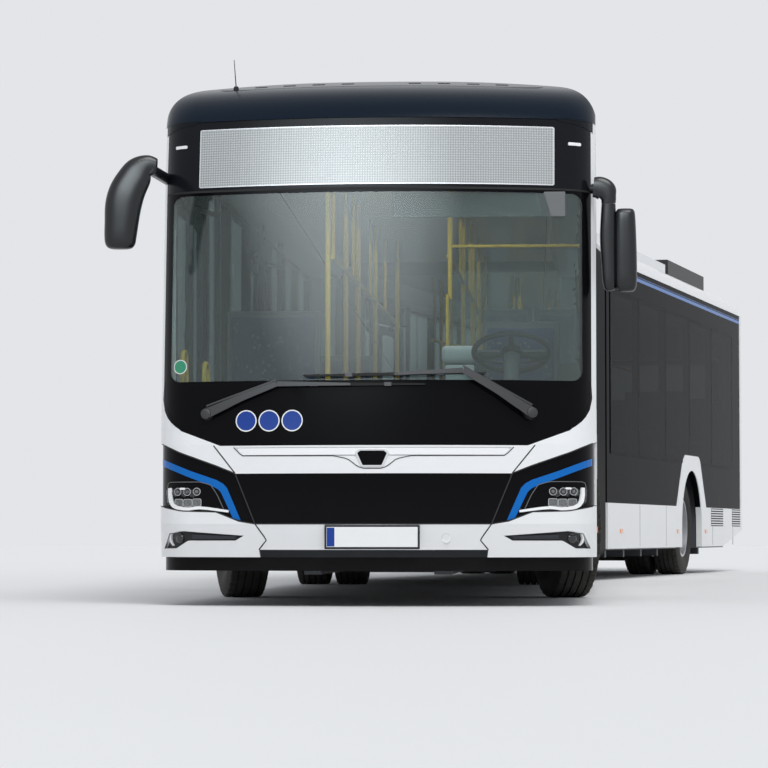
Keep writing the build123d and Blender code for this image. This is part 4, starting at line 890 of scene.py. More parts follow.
# %% [markdown]
# Three round blue stickers with white rims stand low on the screen, and a green one beside the
# door. They are blank.

# %% Round stickers
BLUE_PLACES = [(-0.732, 1.065), (-0.597, 1.065), (-0.462, 1.065)]
GREEN_PLACE = (-1.135, 1.385)


def sticker_rim(place, outer, inner):
    return patch_on_front([circle(*place, outer), circle(*place, inner)], 0.0014, 0.0014)


blue_discs = [patch_on_front([circle(*place, 0.056)], 0.0012, 0.0012) for place in BLUE_PLACES]
put("blue_stickers", blue_discs, STICKER_BLUE)
white_rings = [sticker_rim(place, 0.062, 0.0555) for place in BLUE_PLACES]
put("sticker_rims", white_rings + [sticker_rim(GREEN_PLACE, 0.042, 0.037)], PLATE)
put("green_sticker", [patch_on_front([circle(*GREEN_PLACE, 0.0375)], 0.0012, 0.0012)], DISC_GREEN)

# %% [markdown]
# The number plate is a blank pressed plate with a thin black edge and a plain blue end, held in a
# black frame. A round cover in the body's colour closes the towing socket.

# %% Number plate and the cover over the towing socket
for name, box, material in (
    ("plate_frame", (-0.272, 0.272, -0.004, 0.010, 0.330, 0.468, 0.004), BLACK_PLASTIC),
    ("plate_face", (-0.260, 0.260, -0.0062, 0.0, 0.342, 0.456, 0.002), PLATE),
    ("plate_end", (-0.258, -0.214, -0.0068, -0.004, 0.345, 0.453, 0.001), STICKER_BLUE),
):
    put(name, [add_box(*box)], material)
SOCKET = (0.420, 0.392)
cover = circle(*SOCKET, 0.0252)
put("socket_cover", [patch_on_front([cover], 0.0004, 0.003, step=0.1)], WHITE)
put("socket_ring", [patch_on_front([circle(*SOCKET, 0.0262), cover], 0.0002, 0.002, step=0.1)], GREY_PLASTIC)

# %% [markdown]
# A bus tyre has four long grooves round its tread, cross cuts in its shoulders and a bulging wall
# with a bead at the rim. It starts as a torus, whose rings and points are then moved to the
# tyre's own cross-section. Every few rings the shoulder points sink to make the cuts.

# %% Tyre shape
SHOULDER_CUT = 0.0104
TREAD_CUT = 0.004
# Distance along the axle and radius, from the inner bead round the tread to the outer bead
TYRE_PROFILE = [
    (-0.104, 0.286), (-0.112, 0.299), (-0.125, 0.325), (-0.134, 0.356), (-0.1368, 0.382),
    (-0.134, 0.412),
    (-0.1285, 0.440), (-0.1195, 0.470), (-0.112, 0.4755), (-0.078, 0.4775), (-0.076, 0.464),
    (-0.068, 0.464),
    (-0.066, 0.4778), (-0.030, 0.4782), (-0.028, 0.464), (-0.020, 0.464), (-0.018, 0.4782),
]
TYRE_PROFILE = TYRE_PROFILE + [(-a, r) for a, r in reversed(TYRE_PROFILE)] + [(0.090, 0.290), (-0.090, 0.290)]
SHOULDER = range(6, 10)
OTHER_SHOULDER = [len(TYRE_PROFILE) - 3 - j for j in SHOULDER]
TREAD = range(12, 21)
RINGS = 144


def on_axle(centre, outward):
    """The place of a wheel: its own X points outward along the axle."""
    turn = Vector((1, 0, 0)).rotation_difference(Vector(outward)).to_matrix().to_4x4()
    return Matrix.Translation(centre) @ turn


def add_tyre(place, seed):
    count = len(TYRE_PROFILE)
    tyre = add_torus(1, 0.3, RINGS, count)
    for index, vertex in enumerate(tyre.data.vertices):
        ring, j = divmod(index, count)
        a, r = TYRE_PROFILE[j]
        if (j in SHOULDER and ring % 4 == 0) or (j in OTHER_SHOULDER and (ring + 2) % 4 == 0):
            r -= SHOULDER_CUT
        elif j in TREAD and r > 0.47 and (ring + j) % 4 == 0:
            r -= TREAD_CUT
        angle = 2 * math.pi * (ring + 0.35 * seed) / RINGS
        vertex.co = place @ Vector((a, r * math.cos(angle), r * math.sin(angle)))
    face_outwards(tyre)
    return tyre


# %% [markdown]
# A wheel's rim is right as it is in the CAD, so it keeps its shape and gains what is bolted to it:
# ten nuts with their washers, a hub cap with its screws and the valve.

# %% Wheel trim
NUTS = 10
NUT_CIRCLE = 0.1675
CAP_SCREWS = 6


def around(count, radius, first=0.0):
    angles = [2 * math.pi * (k + first) / count for k in range(count)]
    return [(radius * math.cos(angle), radius * math.sin(angle)) for angle in angles]


def wheel_trim(face, cap_face, cap_radius):
    """Washer, nut and bolt end at each place round a hub that points along X."""
    parts = []
    for y, z in around(NUTS, NUT_CIRCLE):
        for start, end, radius, sides, bevel in (
            (-0.002, 0.004, 0.023, 20, 0.001), (0.003, 0.024, 0.0165, 6, 0.0015),
            (0.022, 0.034, 0.010, 12, 0.0015),
        ):
            parts.append(add_rod((face + start, y, z), (face + end, y, z), radius, sides, bevel=bevel))
    cap_ends = ((cap_face - 0.004, 0, 0), (cap_face + 0.012, 0, 0))
    parts.append(add_rod(*cap_ends, cap_radius, 40, cap_radius * 0.9, 0.003))
    for y, z in around(CAP_SCREWS, cap_radius * 0.72, 0.5):
        parts.append(add_rod((cap_face + 0.008, y, z), (cap_face + 0.018, y, z), 0.007, 6, bevel=0.001))
    parts.append(add_rod((face - 0.01, 0.232, 0.02), (face + 0.05, 0.246, 0.02), 0.0045, 10))
    return parts


# %% Wheels in their places
WHEEL_Z = 0.47825
KINGPIN_X, WHEEL_X, TWIN_X, TWIN_STEP = 0.945, 1.070, 0.905, 0.1555
AXLE_1, AXLE_2, AXLE_3 = 2.775, 7.880, 4.965
for side, label in ((1, "left"), (-1, "right")):
    steered = Matrix.Translation((side * KINGPIN_X, AXLE_1, WHEEL_Z)) @ Matrix.Rotation(STEER, 4, "Z")
    hub = steered @ Vector((side * (WHEEL_X - KINGPIN_X), 0, 0))
    wheel = on_axle(hub, steered.to_3x3() @ Vector((side, 0, 0)))
    body = "wheel_1_" + label
    put("tread_1_" + label, [add_tyre(wheel, 0)], RUBBER, (body, FRONT), 28, replaced=["tyre_1_" + label])
    put("wheel_nuts_1_" + label, wheel_trim(0.092, 0.130, 0.079), SILVER, (body, FRONT @ wheel), 30)
    for axle, y, place in (("2_", AXLE_2, FRONT), ("3_", AXLE_3, TRAIL)):
        body = "wheels_" + axle + label
        centres = [(side * TWIN_X + step, y, WHEEL_Z) for step in (-TWIN_STEP, 0, TWIN_STEP)]
        inner, middle, outer = [on_axle(centre, (side, 0, 0)) for centre in centres]
        treads = [add_tyre(inner, 1), add_tyre(outer, 2)]
        put("treads_" + axle + label, treads, RUBBER, (body, place), 28, replaced=["tyres_" + axle + label])
        put("wheel_nuts_" + axle + label, wheel_trim(0.012, 0.150, 0.092), SILVER, (body, place @ middle), 30)
print("wheels dressed")

# %% [markdown]
# The door-side mirror is one horn-shaped shell that hangs forward of the corner. The driver's has
# an arm that ends in a narrow lobe, with the head beside it. Each shell is a cylinder whose rings
# are laid along a smooth line of stations and squared a little, so that it has no hard edge.

# %% Swept shells
def between(rows, place):
    """A smooth value at a place along rows of numbers: 0 is the first row, 1 the next."""
    k = min(int(place), len(rows) - 2)
    t = place - k
    picked = [rows[min(max(n, 0), len(rows) - 1)] for n in (k - 1, k, k + 1, k + 2)]
    return [
        0.5 * (2 * b + (c - a) * t + (2 * a - 5 * b + 4 * c - d) * t ** 2 + (3 * b - a - 3 * c + d) * t ** 3)
        for a, b, c, d in zip(*picked)
    ]


def swept_shell(stations, sides=32, rings=48, power=2.6):
    """Stations are x, y, z of the middle, half the width and half the depth."""
    clear_selection()
    bpy.ops.mesh.primitive_cylinder_add(vertices=sides, radius=1, depth=2)
    piece = bpy.context.active_object
    cut_along(piece, 2, rings)
    last = len(stations) - 1
    for vertex in piece.data.vertices:
        at = (vertex.co.z + 1) / 2 * last
        x, y, z, half_wide, half_deep = between(stations, at)
        before = between(stations, max(at - 0.05, 0))
        after = between(stations, min(at + 0.05, last))
        along = Vector((after[0] - before[0], after[2] - before[2])).normalized()
        angle = math.atan2(vertex.co.y, vertex.co.x)
        c, s = math.cos(angle), math.sin(angle)
        reach = (abs(c) ** power + abs(s) ** power) ** (-1 / power)
        off = half_wide * reach * c
        vertex.co = Vector((x + along.y * off, y + half_deep * reach * s, z - along.x * off))
    face_outwards(piece)
    return piece


# %% Mirror shells
HORN = [
    (-1.238, -0.030, 2.522, 0.046, 0.030), (-1.290, -0.033, 2.525, 0.066, 0.036),
    (-1.338, -0.035, 2.494, 0.088, 0.046), (-1.378, -0.035, 2.436, 0.098, 0.056),
    (-1.411, -0.035, 2.369, 0.104, 0.064), (-1.430, -0.035, 2.294, 0.104, 0.068),
    (-1.439, -0.035, 2.200, 0.097, 0.070), (-1.445, -0.035, 2.125, 0.092, 0.070),
    (-1.446, -0.035, 2.080, 0.086, 0.066), (-1.446, -0.035, 2.056, 0.070, 0.052),
    (-1.446, -0.035, 2.048, 0.046, 0.032),
]
ELBOW = [
    (1.262, 0.435, 2.436, 0.058, 0.030), (1.300, 0.435, 2.432, 0.066, 0.033),
    (1.334, 0.435, 2.412, 0.064, 0.034),
    (1.349, 0.435, 2.375, 0.046, 0.034), (1.350, 0.435, 2.343, 0.042, 0.033),
]
LOBE = [
    (1.350, 0.435, 2.338, 0.041, 0.033), (1.348, 0.435, 2.230, 0.046, 0.035),
    (1.347, 0.435, 2.126, 0.048, 0.035),
    (1.351, 0.435, 1.980, 0.044, 0.035), (1.354, 0.435, 1.885, 0.041, 0.034),
    (1.356, 0.435, 1.845, 0.033, 0.028),
    (1.357, 0.435, 1.830, 0.020, 0.018),
]
HEAD = [
    (1.447, 0.440, 2.309, 0.036, 0.030), (1.447, 0.440, 2.300, 0.050, 0.046),
    (1.447, 0.440, 2.265, 0.058, 0.056),
    (1.448, 0.440, 2.125, 0.063, 0.059), (1.449, 0.440, 1.980, 0.065, 0.059),
    (1.449, 0.440, 1.880, 0.064, 0.057),
    (1.449, 0.440, 1.838, 0.054, 0.048), (1.449, 0.440, 1.825, 0.036, 0.030),
]
heads = [swept_shell(HORN), swept_shell(ELBOW), swept_shell(LOBE), swept_shell(HEAD, power=3.4)]
heads.append(add_rod((-1.285, -0.060, 2.512), (-1.252, 0.540, 2.512), 0.033, 24))
heads.append(add_rod((1.300, 0.435, 2.420), (1.252, 0.452, 2.430), 0.030, 20))
put("mirror_heads", heads, GLOSS_PLASTIC, smooth=40, replaced=["mirrors"])
MIRROR_FACES = [
    (-1.500, -1.380, 0.028, 0.0365, 2.170, 2.330, 0.0015),
    (-1.500, -1.385, 0.028, 0.0365, 2.085, 2.155, 0.0015),
    (1.408, 1.490, 0.490, 0.4990, 1.980, 2.250, 0.0015),
    (1.408, 1.490, 0.490, 0.4990, 1.875, 1.965, 0.0015),
]
put("mirror_faces", add_boxes(MIRROR_FACES), MIRROR_GLASS)

# %% [markdown]
# A wiper is a heavy tapered arm, a small link beside it, a holder across its end and a rubber
# blade. The two pivots are capped bolts below the screen.

# %% Wipers
# Pivot, end of the arm, blade's start and end, as x and z on the screen, and the arm's height
WIPERS = [
    ((-0.961, 1.108), (-0.547, 1.276), (-0.547, 1.271), (0.300, 1.271), 0.020),
    ((0.896, 1.108), (0.510, 1.349), (0.640, 1.335), (-0.389, 1.320), 0.048),
]


def along_blade(start, end, t, x_off=0.0):
    return (start[0] + (end[0] - start[0]) * t + x_off, start[1] + (end[1] - start[1]) * t)


arms, blades = [], []
for pivot, elbow, start, end, lift in WIPERS:
    arms.append(add_rod(on_front(*pivot), on_front(*pivot, lift + 0.020), 0.040, 32, 0.030, bevel=0.005))
    knee = ((pivot[0] + elbow[0]) / 2, (pivot[1] + elbow[1]) / 2 + 0.006)
    link = [(pivot[0], pivot[1] + 0.045), (elbow[0], elbow[1] + 0.024)]
    middle = along_blade(start, end, 0.5)
    arms.append(bar_on_front([pivot, knee, elbow], [0.058, 0.040, 0.030], lift + 0.014, -lift + 0.004, 0.04))
    arms.append(bar_on_front(link, 0.010, lift + 0.008, -lift, 0.04))
    arms.append(bar_on_front([elbow, middle], [0.030, 0.014], lift + 0.012, -lift, 0.04))
    blades.append(bar_on_front([start, middle, end], [0.010, 0.018, 0.010], lift - 0.002, -0.010, 0.03))
    blades.append(bar_on_front([start, end], 0.005, 0.011, 0.0, 0.03))
    for t in (0.25, 0.75):
        claw = [along_blade(start, end, t, x_off) for x_off in (-0.02, 0.02)]
        arms.append(bar_on_front(claw, 0.022, lift + 0.002, -0.008))
put("wiper_arms", arms, WIPER_GREY, smooth=35, replaced=["wipers"])
put("wiper_blades", blades, RUBBER, smooth=35)

# %% [markdown]
# The flanks are one dark band with fine joints. A bar laid along a straight line on the side wall
# makes a joint, a stripe or a trim strip.

# %% Bars along the sides
WALL = 1.2733
FRONT_END, TRAIL_START, TRAIL_END = 9.090, 0.600, 8.150
# Name, section, and where the doorway starts and ends
DOORS = [
    ("door_1", "front", 0.700, 1.990), ("door_2", "front", 4.480, 5.770),
    ("door_3", "trail", 1.350, 2.640),
]


def side_bar(side, y0, y1, z0, z1, out=0.001, depth=0.003):
    x = side * (WALL + out)
    return add_box(x - depth * (side > 0), x + depth * (side < 0), y0, y1, z0, z1)


def clear_of_doors(section, places, margin):
    """Each side and place of a section where no door is in the way."""
    doors = [(low - margin, high + margin) for name, where, low, high in DOORS if where == section]
    blocked = [y for y in places if any(low < y < high for low, high in doors)]
    return [(side, y) for side in (-1, 1) for y in places if side > 0 or y not in blocked]


# %% Side stripes and joints
for section, joints, y0, y1, home in (
    ("front", [2.095, 3.575, 5.055, 6.535, 7.815], 0.72, FRONT_END, FRONT_HOME),
    ("trail", [2.115, 3.485, 4.855, 6.225, 7.595], TRAIL_START, TRAIL_END, REAR_HOME),
):
    lines, stripes = [], []
    for side, y in clear_of_doors(section, joints, 0.06):
        lines.append(side_bar(side, y - 0.006, y + 0.006, 1.16, 2.62, 0.0006, 0.006))
        lines.append(side_bar(side, y - 0.003, y + 0.003, 0.30, 0.694, 0.0026, 0.004))
    for side in (-1, 1):
        for z0, z1 in ((2.800, 2.832), (2.842, 2.847)):
            stripes.append(side_bar(side, y0, y1, z0, z1, -0.0055, 0.002))
    put(section + "_side_joints", lines, SEAM, home)
    put(section + "_side_stripe", stripes, BLUE, home)

# %% [markdown]
# Every door is a pair of glazed leaves. A leaf is one rounded frame with a large pane, a rubber
# lip down its free edge and a slanted yellow grab rail inside. It is modelled once as a function
# and made for all six leaves, each riding on its own body.

# %% Door leaves
DOOR_GAP = 0.022
MEETING_GAP = 0.016
DOOR_LOW, DOOR_HIGH = 0.357, 2.430
LEAF_OUT, LEAF_IN = -1.266, -1.230
PIVOT_X = -1.218
RAIL_X = LEAF_IN + 0.012


def side_panel(outlines, x_out, thickness, bevel=0.0):
    """A plate on the side: outlines are y and z, and it is thick inwards from x_out."""
    piece = outline_mesh(outlines)
    for vertex in piece.data.vertices:
        vertex.co = Vector((x_out, vertex.co.x, vertex.co.y))
    face_along(piece, Vector((1 if x_out > 0 else -1, 0, 0)))
    thicken(piece, thickness, bevel)
    return piece


def leaf_panel(l0, l1, inset, radius, *sizes, hole=None, steps=5):
    """A plate as large as the leaf less an inset, at its sides, its foot and its top."""
    aside, below, above = inset
    edge = rounded(rectangle(l0 + aside, l1 - aside, DOOR_LOW + below, DOOR_HIGH - above), radius, steps)
    return side_panel([edge, hole] if hole else [edge], *sizes)


def dress_leaf(leaf, place, way, l0, l1):
    home = (leaf, place)
    free, hung = (l1, l0) if way > 0 else (l0, l1)
    middle = (l0 + l1) / 2
    window = rounded(rectangle(l0 + 0.052, l1 - 0.052, DOOR_LOW + 0.092, DOOR_HIGH - 0.087), 0.05)
    frame_piece = leaf_panel(l0, l1, (0, 0, 0), 0.012, LEAF_OUT, 0.034, 0.003, hole=window, steps=3)
    put(leaf + "_frame", [frame_piece], BLACK_PLASTIC, home, 35, replaced=[leaf])
    pane = leaf_panel(l0, l1, (0.040, 0.080, 0.075), 0.04, LEAF_OUT + 0.004, 0.005)
    put(leaf + "_pane", [pane], SIDE_GLASS, home)
    lip_ends = (DOOR_LOW + 0.02, DOOR_HIGH - 0.02)
    lip = add_box(LEAF_OUT + 0.004, LEAF_IN - 0.002, free - 0.003, free + 0.002, *lip_ends, 0.002)
    put(leaf + "_lip", [lip], RUBBER, home)
    fittings = []
    for z0, z1 in ((DOOR_LOW, DOOR_LOW + 0.040), (DOOR_HIGH - 0.040, DOOR_HIGH)):
        for x0, y0, y1 in (
            (LEAF_IN - 0.004, -0.026, -0.0125), (LEAF_IN - 0.004, 0.0125, 0.026),
            (PIVOT_X + 0.0125, -0.014, 0.014),
        ):
            fittings.append(add_box(x0, PIVOT_X + 0.022, middle + y0, middle + y1, z0, z1, 0.002))
    put(leaf + "_hinges", fittings, STEEL, home)
    ends = [(hung + way * 0.060, 1.30), (free - way * 0.060, 0.82)]
    rails = [add_rod((RAIL_X, *ends[0]), (RAIL_X, *ends[1]), 0.010, 14)]
    for end in ends:
        rails.append(add_rod((LEAF_IN - 0.006, *end), (LEAF_IN + 0.016, *end), 0.013, 14, bevel=0.002))
    put(leaf + "_rail", rails, YELLOW, home, 35)


for name, where, low, high in DOORS:
    width = (high - low - MEETING_GAP) / 2 - DOOR_GAP
    place = FRONT if where == "front" else TRAIL
    dress_leaf(name + "_front_leaf", place, 1, low + DOOR_GAP, low + DOOR_GAP + width)
    dress_leaf(name + "_rear_leaf", place, -1, high - DOOR_GAP - width, high - DOOR_GAP)
print("doors dressed")

# %% [markdown]
# The passenger seats are moulded shells on a cantilever foot, with a thin padded cushion and a
# padded back. The padding is crowned: full in the middle and drawn in at its edges. One pad is
# shaped from a subdivided cube and made for every place.

# %% Cloth for the seats
def cloth_finish(name, base, thread, spot):
    material, tree, shader = new_material(name, Roughness=0.9, Sheen_Weight=0.35)
    place = object_place(tree)
    cells = add_node(tree, "ShaderNodeTexVoronoi", Vector=place, Scale=26.0).outputs["Distance"]
    patches = add_node(tree, "ShaderNodeMapRange", Value=cells, From_Min=0.18, From_Max=0.26).outputs[0]
    threads = [
        add_node(tree, "ShaderNodeTexWave", wave_type="BANDS", bands_direction=way, Vector=place, Scale=90.0,
                 Distortion=0.6).outputs["Fac"]
        for way in "XZ"
    ]
    weave = math_of(tree, "MULTIPLY", *threads)
    color = mix_of(tree, "RGBA", patches, (*spot, 1), (*base, 1))
    feed(tree, shader, Base_Color=mix_of(tree, "RGBA", weave, color, (*thread, 1)))
    add_bump(tree, shader, weave, 0.001)
    return material


SEAT_CLOTH = cloth_finish("seat_cloth", (0.030, 0.055, 0.125), (0.016, 0.028, 0.070), (0.16, 0.17, 0.20))


# %% One crowned pad
def add_pad(width, length, height, crown=0.014, draw=0.008):
    """A cushion lying flat, its bottom at z = 0, crowned on top and drawn in between its corners."""
    clear_selection()
    bpy.ops.mesh.primitive_cube_add(size=2)
    pad = bpy.context.active_object
    bpy.ops.object.mode_set(mode="EDIT")
    bpy.ops.mesh.subdivide(number_cuts=9)
    bpy.ops.object.mode_set(mode="OBJECT")
    for vertex in pad.data.vertices:
        u, v, w = vertex.co
        edge = max(abs(u), abs(v))
        pull = draw * (1 - abs(u) * abs(v)) * edge ** 6 + 0.10 * height * abs(w) ** 4
        top = (w + 1) / 2 * height
        if w > 0:
            top += crown * (1 - u ** 4) * (1 - v ** 4) * w - 0.28 * height * edge ** 10 * w
        vertex.co = Vector(((width / 2 - pull) * u, (length / 2 - pull) * v, top))
    soft = pad.modifiers.new("soft", "SUBSURF")
    soft.levels = soft.render_levels = 1
    apply_all(pad)
    return pad


# %% [markdown]
# The places of the seats come from one table per section: the middle of the seat in plan, the
# height of the floor under it, the way it faces and its width.

# %% Seats in both sections
FLOOR_Z = 0.320
PODIUM = 1.102
PLACE_WIDTH = 0.45
FRONT_SEATS = [
    (0.800, 1.650, 0.640, 1, 0.500),
    (0.860, 2.500, PODIUM, 1, 0.680), (-0.860, 2.560, PODIUM, 1, 0.640),
    (0.860, 3.100, PODIUM, -1, 0.680),
    (0.760, 3.900, FLOOR_Z, 1, 0.860), (0.760, 4.700, FLOOR_Z, 1, 0.860),
    (0.760, 5.500, FLOOR_Z, 1, 0.860),
    (0.760, 6.300, FLOOR_Z, 1, 0.860), (-0.760, 6.420, FLOOR_Z, 1, 0.860),
    (0.880, 7.600, PODIUM, 1, 0.620), (-0.880, 7.600, PODIUM, 1, 0.620),
    (0.880, 8.200, PODIUM, -1, 0.620), (-0.880, 8.200, PODIUM, -1, 0.620),
]
REAR_SEATS = [
    (0.760, 1.500, FLOOR_Z, 1, 0.860), (0.760, 2.300, FLOOR_Z, 1, 0.860),
    (0.760, 3.100, FLOOR_Z, 1, 0.860),
    (-0.760, 3.600, FLOOR_Z, 1, 0.860), (0.880, 4.700, PODIUM, 1, 0.620),
    (-0.880, 4.700, PODIUM, 1, 0.620),
    (0.880, 5.300, PODIUM, -1, 0.620), (-0.880, 5.300, PODIUM, -1, 0.620),
    (0.760, 6.500, FLOOR_Z, 1, 0.860), (-0.760, 6.500, FLOOR_Z, 1, 0.860), (0.0, 7.600, 1.150, 1, 2.250),
]


def add_seat(x, y, base, facing, width, shells, pads, feet):
    top = base + (0.440 if base < 1.1 else 0.120)
    places = max(1, round(width / PLACE_WIDTH))
    wide = width / places
    half = wide / 2 - 0.01
    for k in range(places):
        local = Matrix.Translation((x - width / 2 + wide * (k + 0.5), y, 0))
        local = local @ Matrix.Rotation(0 if facing > 0 else math.pi, 4, "Z")
        moulded = add_boxes([
            (-half, half, -0.218, 0.215, top + 0.002, top + 0.034, 0.012),
            (-half, half, 0.212, 0.246, top + 0.030, top + 0.672, 0.014),
            (-half, -half + 0.012, -0.1, 0.235, top + 0.03, top + 0.12, 0.005),
            (half - 0.012, half, -0.1, 0.235, top + 0.03, top + 0.12, 0.005),
        ])
        shells += [move_into(piece, local) for piece in moulded]
        cushion = add_pad(2 * half - 0.05, 0.385, 0.040)
        pads.append(move_into(cushion, local @ Matrix.Translation((0, -0.012, top + 0.033))))
        upright = Matrix.Translation((0, 0.213, top + 0.385)) @ Matrix.Rotation(math.radians(90), 4, "X")
        pads.append(move_into(add_pad(2 * half - 0.05, 0.50, 0.030), local @ upright))
    feet += add_boxes([
        (x - 0.05, x + 0.05, y - 0.10, y + 0.10, base + 0.001, top + 0.004, 0.008),
        (x - width / 2 + 0.04, x + width / 2 - 0.04, y - 0.03, y + 0.03, top - 0.030, top + 0.004, 0.006),
    ])


for section, table, home in (("front", FRONT_SEATS, FRONT_HOME), ("rear", REAR_SEATS, REAR_HOME)):
    shells, pads, feet = [], [], []
    for row in table:
        add_seat(*row, shells, pads, feet)
    put(section + "_seat_shells", shells, SEAT_SHELL, home, 35, replaced=[section + "_seats"])
    padding = put(section + "_seat_pads", pads, SEAT_CLOTH, home, 60)
    put(section + "_seat_feet", feet, STEEL, home)
print("seats placed")

# %% [markdown]
# Seen through the screen is the driver's place: a dashboard with an instrument hood and screens,
# a thick steering wheel and a ticket machine on the counter. Behind the driver stands a glazed
# partition. The solid cab keeps its shape, and these finer pieces stand on it.

# %% Instruments, ticket machine and panes
CAB_BOXES = {
    "dash_boxes": (DARK_PLASTIC, 40, None, [
        (0.560, 0.980, 0.560, 0.740, 1.228, 1.262, 0.014, 3),
        (-0.420, -0.270, 0.270, 0.400, 1.150, 1.262, 0.016, 3),
        (-0.360, -0.330, 0.330, 0.360, 1.255, 1.275, 0.006),
        (0.085, 0.300, 0.330, 0.460, 1.120, 1.180, 0.010),
        (-0.95, 0.32, 0.240, 0.262, 1.158, 1.170, 0.004),
    ]),
    "ticket_machine": (CASE, 40, None, [
        (0.335, 0.560, 1.170, 1.430, 1.452, 1.560, 0.030, 4),
        (0.360, 0.535, 1.160, 1.190, 1.300, 1.440, 0.008),
        (0.400, 0.500, 1.150, 1.200, 1.262, 1.292, 0.004),
    ]),
    "cab_displays": (SCREEN_OFF, None, None, [
        (0.590, 0.950, 0.736, 0.744, 1.236, 1.256, 0.002),
        (0.360, 0.535, 1.196, 1.204, 1.470, 1.545, 0.002),
    ]),
    "cab_panes": (CLEAR_PANE, None, "glass", [
        (0.345, 1.190, 2.070, 2.078, 1.505, 2.250, 0.002),
        (0.350, 0.358, 1.520, 2.060, 1.425, 1.900, 0.002),
    ]),
    "sun_blind": (GREY_PLASTIC, None, None, [(0.10, 1.10, 0.282, 0.292, 2.250, 2.396, 0.004)]),
}
for name, (material, smooth, slot, rows) in CAB_BOXES.items():
    put(name, add_boxes(rows), material, smooth=smooth)
frames = [
    add_rod((0.345, 2.080, 0.64), (0.345, 2.080, 2.700), 0.016, 16),
    add_rod((0.345, 2.080, 2.250), (1.200, 2.080, 2.250), 0.012, 16),
    add_rod((0.354, 1.520, 1.420), (0.354, 1.520, 1.900), 0.010, 16),
]
put("partition_frame", frames, YELLOW, smooth=40)

# %% [markdown]
# The steering wheel's ring is a torus with a dark grip over the CAD ring, three spokes and a
# padded boss with a plain face. Stalks stand out of the column on both sides.

# %% Steering wheel
WHEEL_CENTRE = Vector((0.770, 0.900, 1.500))
WHEEL_WAY = Vector((0, 0.45, 0.9)).normalized()
on_column = Matrix.Translation(WHEEL_CENTRE) @ turned_to(WHEEL_WAY)
wheel_parts = [move_into(add_torus(0.225, 0.0172, 64, 16), on_column)]
for angle in (200, 340, 90):
    x, y = math.cos(math.radians(angle)), math.sin(math.radians(angle))
    start, end = [on_column @ Vector((reach * x, reach * y, 0.004)) for reach in (0.05, 0.215)]
    wheel_parts.append(add_rod(start, end, 0.026, 16, 0.017))
back, face = WHEEL_CENTRE - WHEEL_WAY * 0.02, WHEEL_CENTRE + WHEEL_WAY * 0.030
wheel_parts.append(add_rod(back, face, 0.075, 32, 0.062, bevel=0.010))
for side in (-1, 1):
    root = WHEEL_CENTRE - WHEEL_WAY * 0.075 + Vector((side * 0.04, 0, 0))
    wheel_parts.append(add_rod(root, root + Vector((side * 0.14, 0.01, 0.02)), 0.008, 12, 0.010))
put("steering_wheel_grip", wheel_parts, DARK_PLASTIC, smooth=40)

# %% [markdown]
# Two small yellow loops stand by the first door, where passengers hold on as they step in. Each is
# a rod bent round: a path of points turned into a tube.

# %% Entry loops
LOOP_FOOT = 0.81


def tube_along(points, radius):
    curve = bpy.data.curves.new("loop", "CURVE")
    curve.dimensions = "3D"
    curve.bevel_depth = radius
    curve.bevel_resolution = 3
    curve.use_fill_caps = True
    spline = curve.splines.new("NURBS")
    spline.points.add(len(points) - 1)
    for point, place in zip(spline.points, points):
        point.co = (*place, 1)
    spline.order_u = 3
    spline.use_endpoint_u = True
    return curve_mesh(curve)


loops = []
for x, y, top in ((-1.150, 0.430, 1.49), (-1.020, 0.430, 1.42)):
    rise = [(0, LOOP_FOOT), (0, top - 0.05), (0.03, top)]
    side_view = rise + [(0.19 - back, z) for back, z in reversed(rise)]
    loops.append(tube_along([(x, y + back, z) for back, z in side_view], 0.014))
put("entry_loops", loops, YELLOW, smooth=50)

# %% [markdown]
# The battery case on the front roof has four flush, screwed covers. The trailing section has a
# dark cooling unit with two round fans.

# %% Roof covers
PACK_TOP = 3.320
GRILLE_Z = 3.309
covers, screws = [], []
for k in range(4):
    y0 = 2.66 + k * 1.53
    covers.append(add_box(-0.86, 0.86, y0, y0 + 1.48, PACK_TOP - 0.004, PACK_TOP + 0.006, 0.004))
    for x in (-0.80, 0.80):
        for y in (y0 + 0.08, y0 + 0.74, y0 + 1.40):
            screws.append(add_rod((x, y, PACK_TOP + 0.004), (x, y, PACK_TOP + 0.009), 0.012, 6))
put("pack_covers", covers, CASE, smooth=35)
put("pack_screws", screws, STEEL)

fan_rings, fan_wells = [], []
for y in (5.90, 7.00):
    fan_rings += [add_torus(radius, 0.006, 48, 8, (0, y, GRILLE_Z)) for radius in (0.36, 0.28, 0.20, 0.12)]
    fan_wells.append(add_rod((0, y, 3.296), (0, y, 3.303), 0.375, 48))
    for dx, dy in around(8, 0.37)[:4]:
        fan_rings.append(add_rod((-dx, y - dy, GRILLE_Z), (dx, y + dy, GRILLE_Z), 0.005, 8))
put("fan_grilles", fan_rings, STEEL, REAR_HOME, 50)
put("fan_wells", fan_wells, SEAM, REAR_HOME, 50)
put("cooler_case", [add_box(-0.966, 0.966, 5.334, 7.566, 3.06, 3.3015, 0.008)], BLACK_PLASTIC, REAR_HOME)

# %% [markdown]
# The black dome over the front has a row of small slots along its upper edge, the joint of its lid
# and an aerial on its door side.

# %% Dome slots and aerial
def on_dome(x, y):
    """The place on the dome under a point in plan, and the way the dome faces there."""
    dome = NODES["roof_dome"]
    inverse = dome.matrix_world.inverted()
    start = inverse @ (FRONT @ Vector((x, y, 4)))
    place, normal = dome.ray_cast(start, inverse.to_3x3() @ Vector((0, 0, -1)))[1:3]
    facing = (dome.matrix_world.to_3x3() @ normal).normalized()
    return FRONT.inverted() @ (dome.matrix_world @ place), facing


